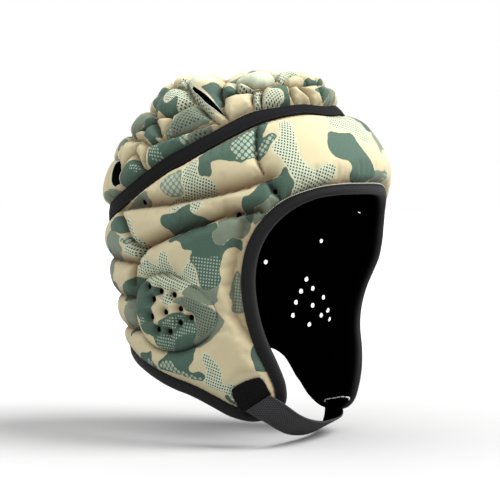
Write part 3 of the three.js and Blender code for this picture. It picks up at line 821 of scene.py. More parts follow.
def puffed(points, seam, ring):
    flat, held = points[::PUFF_STEP, ::PUFF_STEP], seam[::PUFF_STEP, ::PUFF_STEP] < SEAM_HOLD
    if ring:
        flat, held = [np.concatenate([part[:, -PUFF_WRAP - 1:-1], part, part[:, 1:PUFF_WRAP + 1]], 1)
                      for part in (flat, held)]
    held[[0, -1]] = True
    held[:, [0, -1]] = True
    moves = cloth_moves(flat, held)
    if ring:
        moves = moves[:, PUFF_WRAP:-PUFF_WRAP]
        moves[:, [0, -1]] = moves[:, [0, -1]].mean(1, keepdims=True)
    length = np.linalg.norm(moves, axis=-1, keepdims=True)
    moves = moves * np.minimum(1, PUFF_CAP / np.maximum(length, 1e-6))
    for axis in (0, 1):
        count = (moves.shape[axis] - 1) * PUFF_STEP + 1
        at = np.arange(count) / PUFF_STEP
        low = np.minimum(at.astype(int), moves.shape[axis] - 2)
        share = (at - low).reshape([-1, 1, 1] if axis == 0 else [1, -1, 1])
        moves = np.take(moves, low, axis) * (1 - share) + np.take(moves, low + 1, axis) * share
    return points + moves


# Places this far past a limit still belong to a panel's border
HALF_CELL = 0.8
LOWEST_EDGE = -174
# Gap between the tape's middle line and the panels that meet under it
TAPE_GAP = 0.3


def trim(angle, level, limits, ring):
    """Which places of a grid a panel keeps, with its border moved onto the lines that limit it.

    limits are pairs of signed distances, plus where the panel is, and the places of the line."""
    keep = np.ones(angle.shape, bool)
    for depth, _ in limits:
        keep &= depth > -HALF_CELL
    around = np.zeros(angle.shape, int)
    inner = keep[:, :-1] if ring else keep
    for row_step in (-1, 0, 1):
        for column_step in (-1, 0, 1):
            shifted = np.roll(inner, column_step, 1)
            if not ring and column_step:
                first = 0 if column_step > 0 else -1
                shifted[:, first] = inner[:, first]
            shifted = np.roll(shifted, row_step, 0)
            if row_step:
                first = 0 if row_step > 0 else -1
                shifted[first] = inner[first]
            around[:, :shifted.shape[1]] += ~shifted
    if ring:
        around[:, -1] = around[:, 0]
    border = keep & (around > 0)
    closest = np.stack([np.abs(depth) for depth, _ in limits]).argmin(0)
    for number, (_, line) in enumerate(limits):
        chosen = border & (closest == number)
        if chosen.any():
            _, near = nearest(form(angle[chosen], level[chosen]), form(*line))
            angle[chosen], level[chosen] = line[0][near], line[1][near]
    return keep


def side_start(grid, cut):
    """Places of the side from the tape down, their points, and the limit where its cloth is cut."""
    columns, rows = grid
    turn = np.linspace(-180, 180, columns + 1)
    high = level_of(tape_height(turn) - TAPE_GAP * tape_slant(turn))
    level = blend(high, float(level_of(LOWEST_EDGE)), np.linspace(0, 1, rows + 1)[:, None])
    angle = np.broadcast_to(turn, level.shape).copy()
    points = form(angle, level)
    inset = place_of(inset_line(EDGE_ANGLE, EDGE_LEVEL, cut, 0))
    return angle, level, points, [(edge_depth(angle, points) - cut, inset)]


def same_side(angle):
    """Keeps a place at the back on the half of the grid that it belongs to."""
    half = angle.shape[1] // 2
    angle[:, :half] = np.where(angle[:, :half] > 90, -angle[:, :half], angle[:, :half])
    angle[:, half + 1:] = np.where(angle[:, half + 1:] < -90, -angle[:, half + 1:], angle[:, half + 1:])


# Camouflage print, charted: each patch is a row of x, y pixels of the photograph round its outline
SIDE_PATCHES = {"sage": [
    [118,212, 123,207, 127,203, 133,198, 140,193, 147,188, 147,196, 149,200, 146,204, 147,208, 142,208,
     140,205, 135,209, 128,210, 122,212, 121,217],
    [160,184, 166,177, 172,172, 181,168, 183,176, 181,182, 184,188, 182,193, 176,196, 169,196, 164,193,
     161,188],
    [216,221, 225,218, 235,214, 241,211, 244,215, 247,221, 251,226, 246,234, 241,240, 236,239, 232,238,
     228,240, 226,244, 222,246, 217,244, 214,240, 213,235, 214,231, 218,229, 218,225],
    [252,208, 260,204, 267,200, 272,193, 279,190, 278,197, 281,203, 274,210, 265,216, 258,222, 253,226,
     251,219, 251,212],
    [105,239, 109,230, 113,229, 118,234, 122,237, 119,242, 124,249, 120,254, 117,260, 115,264, 109,259,
     106,248],
    [200,286, 208,289, 215,287, 221,281, 219,290, 217,297, 219,300, 214,306, 207,304, 198,300, 191,297,
     183,294, 187,288, 192,284],
    [181,296, 190,296, 200,301, 212,307, 217,312, 222,318, 226,321, 221,329, 215,336, 207,343, 200,347,
     194,349, 191,342, 196,334, 199,329, 196,322, 195,315, 190,312, 184,308, 178,303, 172,302,
     177,298],
    [123,303, 132,299, 136,306, 139,315, 139,320, 134,328, 126,329, 123,318],
    [374,170, 380,173, 384,171, 388,178, 384,187, 379,183, 373,181],
    [231,278, 236,269, 240,279, 242,295, 245,313, 237,316, 229,312, 231,303, 227,297, 229,288],
], "green": [
    [197,157, 205,150, 220,141, 235,132, 250,124, 262,118, 270,118, 267,128, 264,134, 261,139, 267,137,
     272,134, 278,137, 276,141, 272,144, 269,151, 265,156, 258,160, 255,157, 250,159, 245,161, 242,164,
     237,162, 230,162, 222,160, 216,161, 212,163, 212,167, 213,171, 212,176, 210,178, 206,176, 201,177,
     199,171, 200,165, 199,160],
    [243,197, 250,195, 255,190, 257,185, 262,181, 270,178, 277,178, 281,174, 284,167, 288,170, 289,176,
     293,180, 295,185, 292,190, 291,196, 286,201, 280,204, 278,197, 279,190, 272,193, 267,200, 260,204,
     254,206, 251,210, 253,214, 252,221, 250,225, 246,221, 243,213, 241,209, 241,202],
    [161,217, 164,214, 170,213, 175,212, 180,208, 185,205, 190,203, 190,207, 191,211, 196,214, 203,216,
     205,219, 209,220, 212,219, 211,222, 205,224, 195,228, 185,231, 175,235, 169,238, 168,232, 167,229,
     163,226, 161,222],
    [166,240, 175,236, 185,232, 195,228, 205,225, 215,222, 218,225, 218,229, 214,231, 213,235, 214,240,
     217,244, 222,246, 226,244, 228,240, 232,238, 236,239, 241,241, 241,253, 236,250, 233,247, 228,249,
     224,253, 222,262, 220,270, 222,280, 219,286, 208,290, 201,287, 199,275, 197,267, 192,262, 191,256,
     194,252, 193,250, 185,250, 183,246, 181,242, 177,240, 172,242, 169,243],
    [109,222, 114,217, 118,215, 121,219, 124,225, 127,230, 124,233, 120,234, 117,232, 110,231],
    [120,239, 126,237, 132,238, 133,242, 128,245, 122,243],
    [118,294, 123,284, 130,278, 134,276, 141,279, 148,282, 153,285, 160,288, 165,290, 164,294, 158,295,
     155,298, 154,303, 153,309, 155,316, 157,321, 160,325, 160,329, 157,332, 152,334, 146,332, 143,326,
     142,318, 138,313, 136,306, 133,299, 126,302, 120,302],
    [126,330, 134,328, 139,321, 142,323, 139,328, 134,332, 130,333, 128,339],
    [154,322, 160,320, 166,317, 172,313, 178,312, 184,313, 190,316, 196,322, 200,329, 197,335, 193,342,
     195,349, 194,355, 195,360, 191,365, 190,369, 193,373, 199,370, 205,373, 207,376, 204,381, 196,380,
     185,376, 170,371, 158,369, 159,362, 163,357, 166,354, 162,350, 157,343, 155,336, 150,333,
     152,327],
    [140,357, 143,351, 147,353, 151,350, 152,355, 152,359, 155,365, 158,367, 152,372, 146,369,
     142,363],
    [251,348, 254,345, 259,349, 263,356, 268,363, 272,371, 267,374, 260,372, 255,371, 254,365, 252,360,
     250,354],
    [225,393, 230,396, 231,400, 236,403, 235,407, 226,401],
    [325,136, 329,134, 334,136, 340,136.5, 347,136, 351,139, 353,144, 358,150, 364,158, 368,163,
     372,169, 376,174, 374,178, 370,182, 362,183, 357,181, 352,179, 350,174, 350,168, 346,163, 340,162,
     334,160, 329,156, 326,151, 325,145],
    [356,120, 362,126, 367,137, 362,133, 357,126],
], "sand": [
    [156,298, 161,296, 167,296, 172,300, 172,304, 170,308, 170,313, 166,317, 160,320, 160,325, 157,325,
     154,321, 155,314, 153,308, 154,302],
], "dots": [
    [181,168, 190,162, 198,157, 199,165, 199,172, 201,178, 206,177, 210,179, 214,182, 216,187, 215,193,
     213,198, 205,199, 195,200, 185,202, 175,203, 168,204, 167,200, 175,196, 183,193, 184,187, 182,181,
     183,175],
    [166,210, 172,207, 180,205, 187,203, 183,206, 178,209, 174,211, 170,212],
    [190,202, 195,201, 202,201, 203,204, 200,208, 196,211, 192,212, 190,208],
    [128,218, 131,218, 134,226, 137,234, 139,240, 145,250, 149,255, 143,258, 138,262, 134,258, 128,256,
     124,251, 124,246, 131,243, 134,241, 132,236, 129,230, 127,223],
    [137,270, 139,264, 143,260, 147,258, 152,262, 157,264, 160,262, 158,256, 160,252, 165,250, 169,253,
     169,259, 172,265, 172,270, 176,275, 181,275, 183,270, 187,265, 190,260, 192,254, 196,257, 194,262,
     197,268, 199,275, 199,284, 201,290, 196,292, 190,286, 186,290, 180,292, 174,291, 168,291, 163,288,
     158,287, 154,285, 150,281, 143,278, 138,275],
    [161,295, 170,292, 178,292, 178,297, 173,302, 171,306, 164,304],
    [181,296, 190,296, 200,301, 212,307, 217,312, 220,320, 212,330, 203,338, 197,338, 200,329, 196,322,
     195,315, 190,312, 184,308],
    [278,123, 283,120, 288,121, 291,129, 295,137, 296,145, 298,152, 300,160, 305,165, 309,170, 316,171,
     321,168, 326,165, 331,165, 336,170, 335,176, 332,183, 322,186, 312,189, 303,192, 294,196, 292,191,
     295,186, 294,180, 290,176, 289,170, 284,166, 281,160, 277,156, 272,153, 272,146, 276,142, 280,138,
     279,131],
    [325,112, 336,112, 346,116, 356,122, 362,132, 367,142, 366,148, 358,145, 353,139, 347,134, 335,133,
     328,130, 325,121],
    [203,353, 208,351, 212,357, 216,361, 220,365, 223,372, 223,380, 226,386, 231,382, 235,385, 233,390,
     232,394, 236,399, 241,404, 245,410, 238,408, 232,400, 226,394, 222,391, 214,389, 207,385, 203,383,
     206,378, 208,372, 206,366, 203,360],
    [247,334, 250,333, 254,340, 257,345, 252,345, 249,340],
], "lattice": [
    [229,147, 233,140, 240,134, 248,129, 255,130, 254,140, 256,147, 258,155, 255,157, 249,159, 244,161,
     240,162, 237,161, 234,156, 231,152],
    [257,147, 262,141, 268,138, 273,135, 277,138, 274,143, 269,148, 268,153, 264,156, 259,157],
    [161,183, 166,177, 172,173, 180,170, 183,176, 181,182, 184,188, 182,193, 176,195, 169,196, 164,193,
     161,188],
    [160,362, 166,359, 175,360, 176,366, 185,370, 193,374, 205,377, 203,381, 192,379, 180,375, 168,370,
     160,367],
    [145,362, 148,356, 153,361, 153,368, 148,367],
    [118,236, 126,235, 133,238, 134,243, 127,247, 120,245],
], "speckle": [
    [191,256, 195,254, 203,257, 212,256, 221,255, 222,262, 220,270, 221,280, 219,285, 215,288, 208,289,
     202,287, 200,283, 199,275, 197,267, 192,262],
    [156,337, 163,333, 170,335, 176,333, 180,328, 184,321, 190,319, 197,325, 200,329, 197,335, 190,333,
     183,336, 178,340, 176,348, 172,353, 167,354, 162,350, 158,344],
    [163,321, 170,317, 178,314, 184,316, 186,320, 181,325, 176,329, 170,331, 165,327],
    [140,316, 146,316, 148,321, 145,325, 141,322],
    [233,276, 236,271, 239,280, 240,290, 241,300, 242,311, 236,314, 231,311, 232,304, 229,298, 231,290,
     232,283],
]}
CROWN_PATCHES = {"sage": [
    [327,87, 333,90, 339,97, 341,105, 333,106, 328,104, 327,95],
    [168,128, 175,120, 181,112, 188,107, 194,103, 200,105, 205,110, 210,116, 208,121, 200,124, 190,128,
     180,133, 172,137, 163,139, 165,132],
    [184,140, 187,135, 195,130, 203,126, 210,121, 210,126, 207,132, 200,137, 192,142, 186,146],
    [123,138, 128,129, 134,121, 141,115, 148,112, 155,112, 152,118, 145,124, 138,128, 133,131,
     131,137],
    [104,199, 108,191, 115,189, 119,192, 113,198, 109,203, 105,206],
    [227,82, 231,76, 237,72, 245,70, 255,69, 263,71, 255,74, 246,75, 238,77, 233,80, 230,84],
    [115,160, 116,148, 119,141, 124,136, 126,141, 121,148, 119,155, 119,164],
], "green": [
    [201,88, 206,87, 210,84, 214,81, 219,80, 222,83, 224,87, 226,88, 230,85, 234,86, 238,91, 238,93,
     232,94, 226,96, 222,101, 220,106, 222,112, 218,109, 215,102, 211,97, 206,92],
    [268,88, 273,85, 279,83, 285,84, 289,91, 291,98, 294,101, 298,102, 297,104, 288,104, 280,105,
     280,100, 285,99, 284,95, 282,91, 277,89, 272,89],
    [313,90, 318,88, 322,86, 327,87, 328,95, 326,101, 324,96, 319,94, 314,92],
    [303,78, 308,78, 315,80, 322,80, 326,84, 318,86, 310,86, 305,83],
    [153,104, 160,99, 161,94, 164,90, 168,88, 173,86, 172,92, 168,97, 166,102, 168,106, 173,103,
     179,97, 180,101, 177,107, 175,113, 174,117, 168,116, 163,115, 160,111, 156,112, 153,108],
    [131,137, 133,131, 138,128, 144,125, 148,120, 152,117, 156,115, 157,119, 155,122, 157,126, 160,130,
     158,135, 153,138, 158,142, 165,139, 175,137, 182,132, 187,135, 186,143, 178,149, 170,154, 160,161,
     150,168, 146,172, 146,165, 149,157, 150,148, 148,140, 144,136, 145,131, 140,131, 136,134,
     135,138],
    [120,188, 122,178, 126,168, 130,163, 134,158, 137,160, 139,165, 146,171, 144,175, 135,180, 128,187,
     122,193],
], "sand": [
    [156,120, 162,117, 168,117, 170,121, 167,127, 165,132, 163,138, 160,138, 159,131, 156,125],
], "mint": [
    [228,82, 233,76, 242,73, 254,71.5, 266,72, 274,76, 277,81, 271,85, 258,86, 246,86, 236,87, 230,86],
    [190,82, 192,76, 198,73, 206,73, 213,76, 216,80, 208,82, 200,84],
], "dots": [
    [171,90, 176,83, 183,76, 190,76, 190,84, 197,92, 205,103, 211,107, 216,116, 213,118, 207,112,
     200,105, 194,102, 188,105, 182,109, 176,113, 176,108, 180,100, 174,102, 168,105, 167,101, 170,95],
    [237,88, 241,83, 246,85, 252,88, 262,87, 265,92, 263,100, 262,109, 257,111, 254,104, 253,98,
     250,92, 244,91, 239,92],
    [267,92, 273,89, 279,90, 283,95, 284,98, 280,100, 279,106, 272,108, 266,109, 264,102, 265,96],
    [270,71, 280,69, 290,71, 297,75, 303,79, 296,78, 288,78, 282,82, 279,78, 274,77],
    [170,128, 178,120, 186,112, 194,107, 203,112, 207,118, 196,123, 184,128, 174,134],
    [187,138, 195,131, 204,127, 207,130, 198,136, 190,141],
], "lattice": [
    [253,76, 260,75, 266,77, 269,83, 265,88, 258,87, 253,83],
    [204,112, 208,110, 213,114, 217,119, 213,120, 208,116],
    [180,133, 184,131, 189,135, 187,146, 181,147, 178,140],
], "speckle": [
    [148,141, 157,142, 161,150, 160,160, 152,162, 148,153],
    [131,164, 136,163, 139,168, 136,173, 131,171],
    [163,136, 170,128, 174,130, 170,136, 164,139],
]}
PRINT_LAYERS = ["sage", "green", "sand", "mint", "dots", "lattice", "speckle"]
PRINT_REACH = 5.0
PAD_STAND = 2.0
# Search for the place under a pixel: rounds, small steps, and the largest moves, in degrees and levels
SEEK_ROUNDS = 4
SEEK_TURN = 0.2
SEEK_DROP = 0.02
LARGEST_TURN = 0.6
LARGEST_DROP = 0.04
EDGE_ON = 1e-3
NO_MOVE = 1e9
CORNER_CUT = 0.25


def seen_at(angle, level):
    """Pixels of the photograph at which places on the pads show."""
    return pixel_of(shell(angle, level, PAD_STAND))


def places_under(pixels):
    """Angle and level of the cloth that shows at pixels of the photograph."""
    grid_angle, grid_level = np.meshgrid(np.arange(-180, 180, 1.0), np.arange(0.05, LAST_LEVEL, 0.06))
    points = shell(grid_angle, grid_level, PAD_STAND)
    facing = np.einsum("ijk,ijk->ij", normal(grid_angle, grid_level), EYE - points) > 0
    seen = pixel_of(points[facing])
    start = ((pixels[:, None] - seen[None]) ** 2).sum(-1).argmin(1)
    angle, level = grid_angle[facing][start], grid_level[facing][start]
    for _ in range(SEEK_ROUNDS):
        here = seen_at(angle, level)
        turn = (seen_at(angle + SEEK_TURN, level) - here) / SEEK_TURN
        drop = (seen_at(angle, level + SEEK_DROP) - here) / SEEK_DROP
        miss = pixels - here
        area = turn[:, 0] * drop[:, 1] - turn[:, 1] * drop[:, 0]
        area = np.where(np.abs(area) < EDGE_ON, NO_MOVE, area)
        turns = (miss[:, 0] * drop[:, 1] - miss[:, 1] * drop[:, 0]) / area
        drops = (turn[:, 0] * miss[:, 1] - turn[:, 1] * miss[:, 0]) / area
        angle = angle + np.clip(turns, -LARGEST_TURN, LARGEST_TURN)
        level = level + np.clip(drops, -LARGEST_DROP, LARGEST_DROP)
    return angle, level


def rounded(polygon):
    """A charted patch with its corners cut round, twice."""
    for _ in range(2):
        after = np.roll(polygon, -1, 0)
        cuts = [blend(polygon, after, CORNER_CUT), blend(polygon, after, 1 - CORNER_CUT)]
        polygon = np.stack(cuts, 1).reshape(-1, 2)
    return polygon


def charted(patches, flatten):
    """Patches of each layer on the flat cloth, in millimetres."""
    cloth = {}
    for layer, rows in patches.items():
        polygons = [np.reshape(row, (-1, 2)) for row in rows]
        flat = flatten(*places_under(np.vstack(polygons)))
        ends = np.cumsum([len(polygon) for polygon in polygons])[:-1]
        cloth[layer] = [rounded(part) for part in np.split(flat, ends)]
    return cloth


def moved(cloth, flip, turn, shift, furthest):
    """A copy of the print elsewhere on the cloth: flipped, turned and shifted, up to a limit."""
    cosine, sine = math.cos(math.radians(turn)), math.sin(math.radians(turn))
    spin = np.array([[cosine, sine], [-sine, cosine]])
    copy = {}
    for layer, polygons in cloth.items():
        chosen = [polygon for polygon in polygons if polygon[:, 0].max() < furthest]
        copy[layer] = [polygon * [flip, 1] @ spin + shift for polygon in chosen]
    return copy


def print_depths(plane, cloths):
    """Millimetres that each place of the cloth lies inside the patches of each layer, minus outside."""
    depths = {}
    for layer in PRINT_LAYERS:
        depth = np.full(plane.shape[:-1], -PRINT_REACH)
        for cloth in cloths:
            for polygon in cloth.get(layer, []):
                low, high = polygon.min(0) - PRINT_REACH, polygon.max(0) + PRINT_REACH
                near = ((plane > low) & (plane < high)).all(-1)
                if near.any():
                    depth[near] = np.maximum(depth[near], depth_in(plane[near], polygon))
        depths[layer] = np.minimum(depth, PRINT_REACH)
    return depths


# Where copies of the print may lie, in millimetres round the head
NAPE_REACH = (205, 415)
FOREHEAD_REACH = (20, 66)


def between(cloth, low, high):
    """The patches of a print that lie in a reach round the head."""
    return {layer: [p for p in polygons if p[:, 0].min() > low and p[:, 0].max() < high]
            for layer, polygons in cloth.items()}


SIDE_CLOTH = charted(SIDE_PATCHES, unroll)
LEFT_COPY = moved(SIDE_CLOTH, -1, -6, (9, 16), -55)
NAPE_COPY = between(moved(SIDE_CLOTH, 1, 180, (175, -60), -40), *NAPE_REACH)
FOREHEAD_COPY = between(moved(SIDE_CLOTH, 1, 180, (-90, 50), FAR_OFF), *FOREHEAD_REACH)


def side_print(angle, level):
    """Depths in the print of the side, whose cloth closes at the back."""
    plane = unroll(angle, level)
    cloths = [SIDE_CLOTH, LEFT_COPY, NAPE_COPY, FOREHEAD_COPY]
    turns = [print_depths(plane + [turn * HEAD_ROUND, 0], cloths) for turn in (-1, 0, 1)]
    return {layer: np.max([depths[layer] for depths in turns], 0) for layer in PRINT_LAYERS}


# Columns and rows of each skin
SIDE_GRID = (440, 150)
CROWN_GRID = (420, 96)
EAR_GRID = (100, 76)
LINING_GRID = (260, 90)


def side_panel():
    """Padded wall round the head, open at the ears and the vents."""
    angle, level, points, limits = side_start(SIDE_GRID, PANEL_TRIM)
    for ear in EARS.values():
        limits.append((away_from_ear(ear, points), place_of(ear_point(ear, *EGG.T))))
    for vent in VENTS:
        limits.append((away_from(points, *vent) - VENT_RADIUS, vent_ring(*vent, VENT_RADIUS)))
    keep = trim(angle, level, limits, True)
    same_side(angle)
    height, painted_shade, seam = side_height(angle, level)
    skin = puffed(shell(angle, level, height), seam, True)
    inside = shell(*slanted_inside(angle, level, PANEL_INSIDE), PANEL_INSIDE)
    layers = {"painted_shade": painted_shade, **side_print(angle, level)}
    return cloth_piece("side_panel_print", skin, inside, unroll(angle, level), layers, keep)


# Seams of the crown, as rows of x, y: millimetres of arc from the apex, to the wearer's left and the back
CROWN_SEAMS = [
    # long bar above the tape, and the second bar above it
    [-82,-22, -87,-14, -93,1, -97,17, -101,31, -110,32, -124,27],
    [-77,13, -73,8, -67,1],
    [-96,18, -88,16, -82,13, -77,13],
    # flanges of the side dart
    [-42,17, -56,7, -67,-3, -75,-12, -81,-21, -85,-29],
    [-46,-8, -58,-14, -66,-21, -74,-25, -86,-42],
    # small pads behind the bars
    [-80,31, -88,23, -96,18],
    [-80,31, -76,25, -77,13],
    [-65,44, -74,33, -80,31],
    [-44,35, -48,22, -52,11],
    [-74,71, -81,55, -84,39, -80,31],
    [-84,39, -94,41, -101,30],
    [-77,75, -91,52, -94,41],
    [-98,44, -104,51, -109,63, -118,72],
    [-104,47, -113,38, -122,30, -132,26],
    # flanges of the rear dart
    [-80,76, -97,74, -112,70, -136,66],
    [-82,88, -97,95, -112,97, -130,100],
    # pads above the forehead
    [-61,-21, -57,-26, -53,-37, -48,-43, -44,-45, -36,-53, -31,-60],
    [-53,-37, -60,-43, -74,-55],
    [-49,-44, -56,-49, -68,-60],
    [-31,-60, -34,-68, -35,-84],
    [-23,-66, -16,-77, -10,-95],
    [-31,-60, -16,-67, 0,-68],
    [0,-68, 0,-100],
    # top pads
    [-46,-8, -47,-25, -50,-35, -45,-44, -35,-47],
    [-57,-26, -50,-20],
    [-46,-8, -27,-5, 0,-3],
    [-35,-47, -18,-38, 0,-34],
    [-35,-47, -31,-60],
    [-31,-52, -14,-52, -8,-67],
    [-40,18, -24,27, 0,30],
    [-44,35, -25,48, 0,53],
    [-40,18, -44,35],
    [-17,-38, -16,-21, -17,-5],
    [-20,-4, -21,12, -22,26],
    [-10,28, -11,40, -10,51],
    # rear pads
    [-14,52, -14,66, -13,80],
    [-16,82, -15,96, -16,108],
    [-44,35, -65,44, -50,66, -28,78, 0,83],
    [-25,48, -28,78],
    [-74,71, -55,92, -30,106, 0,110],
    [-50,66, -55,92],
    [0,83, 0,110],
    [-82,88, -70,112, -40,130, 0,136],
    [-30,106, -40,130],
    [-70,112, -88,150],
    [-40,130, -46,170],
    [0,136, 0,180],
]
# Open darts on each side: width, and their line by angle and height
DARTS = [
    (4.4, [[69, 53], [75, 58.5], [82, 64.5], [90, 71], [102, 79]]),
    (10, [[122, 2], [124, 9], [126, 17], [127, 25]]),
]
DART_STEPS = 41
DART_ROUNDNESS = 0.7
# Heights of the crown out from the form; the pads are lower within some arc of the apex
CROWN_TOP = 3.6
CROWN_FLOOR = -6.4
LOWEST_SEAM = -8.4
APEX_DROP = 2.8
APEX_FLAT = 20
APEX_BLEND = 40
# Fold across the top, which dips in the outline
TOP_FOLD = np.array([(-34, -11), (0, 15.6), (34, 42)], float)
TOP_FOLD_DIP = (7.0, 9.0)
# Strength and reach of the shade painted along the fold
TOP_FOLD_SHADE = (0.8, 3)
# The pads' shoulders and the shade painted by the seams, and how far above the tape its flange is felt
SEAM_SHOULDER = 8.5
SEAM_SHADE = (0.9, 7.5)
TAPE_RISE = 25
# Wandering seams, uneven pads and gathers: lengths and seeds of the waves, then sizes and reaches
SEAM_WANDER = [(14, 11), (14, 12)]
CROWN_WAVES = (22, 8)
CROWN_WAVE = 0.9
CROWN_GATHER_WAVES = (8, 4)
CROWN_GATHER_WANDER = 3
CROWN_GATHER_TURN = 0.95
CROWN_GATHER_HEIGHT = 0.25
SEAM_GATHER_REACH = 3.5
TAPE_GATHER_REACH = 4
# Table of the arc from the apex: columns round the head, rows down it, and its lowest level
CHART_COLUMNS = 360
CHART_ROWS = 280
CHART_LEVELS = 7
CHART_MARGIN = 0.001
ARC_STEPS = 81


def arc_down(points):
    """Length down each column of a grid of points."""
    steps = np.linalg.norm(np.diff(points, axis=0), axis=-1)
    return np.concatenate([np.zeros((1, steps.shape[1])), np.cumsum(steps, 0)])


def crown_places(columns, rows):
    """Places of the crown by column and row, evenly from the tape to the apex."""
    turn = np.linspace(-180, 180, columns + 1)
    start = level_of(tape_height(turn) + TAPE_GAP * tape_slant(turn))
    levels = start * np.linspace(1, 0, ARC_STEPS)[:, None]
    arc = arc_down(form(np.broadcast_to(turn, levels.shape), levels))
    share = np.linspace(0, 1, rows + 1)
    level = np.empty((rows + 1, columns + 1))
    for column in range(columns + 1):
        level[:, column] = np.interp(share * arc[-1, column], arc[:, column], levels[:, column])
    return np.broadcast_to(turn, level.shape).copy(), level


ARC_ANGLES = np.linspace(-180, 180, CHART_COLUMNS + 1)
ARC_LEVELS = np.linspace(0, CHART_LEVELS, CHART_ROWS + 1)
ARC = arc_down(form(ARC_ANGLES[None], ARC_LEVELS[:, None]))


def crown_chart(angle, level):
    """Place on the crown chart of an angle and level."""
    column = np.clip(angle + 180, 0, CHART_COLUMNS - CHART_MARGIN)
    row = np.clip(level / CHART_LEVELS * CHART_ROWS, 0, CHART_ROWS - CHART_MARGIN)
    left, above = column.astype(int), row.astype(int)
    upper = blend(ARC[above, left], ARC[above, left + 1], column - left)
    lower = blend(ARC[above + 1, left], ARC[above + 1, left + 1], column - left)
    arc = blend(upper, lower, row - above)
    turn = np.radians(angle)
    return np.stack([arc * np.sin(turn), -arc * np.cos(turn)], -1)


def dart_outline(width, rows, side):
    """Closed lens along a dart's line, as points of the form."""
    line = through(np.asarray(rows, float), DART_STEPS)
    angle, level = side * line[:, 0], level_of(line[:, 1])
    points = form(angle, level)
    ahead = unit(np.gradient(points, axis=0))
    across = unit(np.cross(ahead, normal(angle, level)))
    opening = width / 2 * np.sin(math.pi * np.linspace(0, 1, DART_STEPS))[:, None] ** DART_ROUNDNESS
    return np.vstack([points + across * opening, (points - across * opening)[-2:0:-1]])


DART_PLACES = [place_of(dart_outline(width, rows, side)) for width, rows in DARTS for side in (1, -1)]


def crown_height(angle, level):
    """Height of the crown pads, the shade painted into their creases and distance from the nearest seam."""
    chart = crown_chart(-np.abs(angle), level)
    wander = np.stack([slow_noise(chart, *waves) for waves in SEAM_WANDER], -1)
    apex = 1 - valley((np.hypot(chart[..., 0], chart[..., 1]) - APEX_FLAT) / APEX_BLEND)
    top = CROWN_TOP - APEX_DROP * apex + CROWN_WAVE * slow_noise(chart, *CROWN_WAVES)
    z = form(angle, level)[..., 2]
    near_tape = np.where(z < tape_height(angle) + TAPE_RISE, beside_tape(angle, z, 1), FAR_OFF)
    height = blend(SEAM_FLOOR, top, shoulder(near_tape / TAPE_SHOULDER))
    seam = np.full(angle.shape, FAR_OFF)
    for rows in CROWN_SEAMS:
        distance, _ = line_distance(chart + wander, np.reshape(rows, (-1, 2)))
        seam = np.minimum(seam, distance)
    height = np.minimum(height, blend(CROWN_FLOOR, top, shoulder(seam / SEAM_SHOULDER)))
    painted_shade = np.maximum(shade(seam, *SEAM_SHADE), shade(near_tape, *TAPE_SHADE))
    fold, _ = line_distance(crown_chart(angle, level), TOP_FOLD)
    height = np.maximum(height - dimple(fold, *TOP_FOLD_DIP), LOWEST_SEAM)
    painted_shade = np.maximum(painted_shade, dimple(fold, *TOP_FOLD_SHADE))
    gather = fading(seam, SEAM_GATHER_REACH) + fading(near_tape, TAPE_GATHER_REACH)
    bend = CROWN_GATHER_WANDER * slow_noise(chart, *CROWN_GATHER_WAVES)
    wave = np.sin((chart[..., 0] + chart[..., 1]) * CROWN_GATHER_TURN + bend)
    return height + CROWN_GATHER_HEIGHT * gather * wave, painted_shade, np.minimum(seam, near_tape)


CROWN_CLOTH = charted(CROWN_PATCHES, crown_chart)
CROWN_FAR_COPY = moved(CROWN_CLOTH, 1, 180, (0, 0), FAR_OFF)
CROWN_REAR_COPY = moved(CROWN_CLOTH, 1, 205, (-25, 88), FAR_OFF)


def crown():
    """Padded cap above the tape, open at its darts."""
    angle, level = crown_places(*CROWN_GRID)
    chart = crown_chart(angle, level)
    limits = [(-depth_in(chart, crown_chart(*places)), places) for places in DART_PLACES]
    keep = trim(angle, level, limits, True)
    same_side(angle)
    height, painted_shade, seam = crown_height(angle, level)
    seam = np.minimum(seam, np.min([depth for depth, _ in limits], 0))
    skin = puffed(shell(angle, level, height), seam, True)
    chart = crown_chart(angle, level)
    layers = {"painted_shade": painted_shade, **print_depths(chart, [CROWN_CLOTH, CROWN_FAR_COPY, CROWN_REAR_COPY])}
    return cloth_piece("crown_print", skin, shell(angle, level, PANEL_INSIDE), chart, layers, keep)


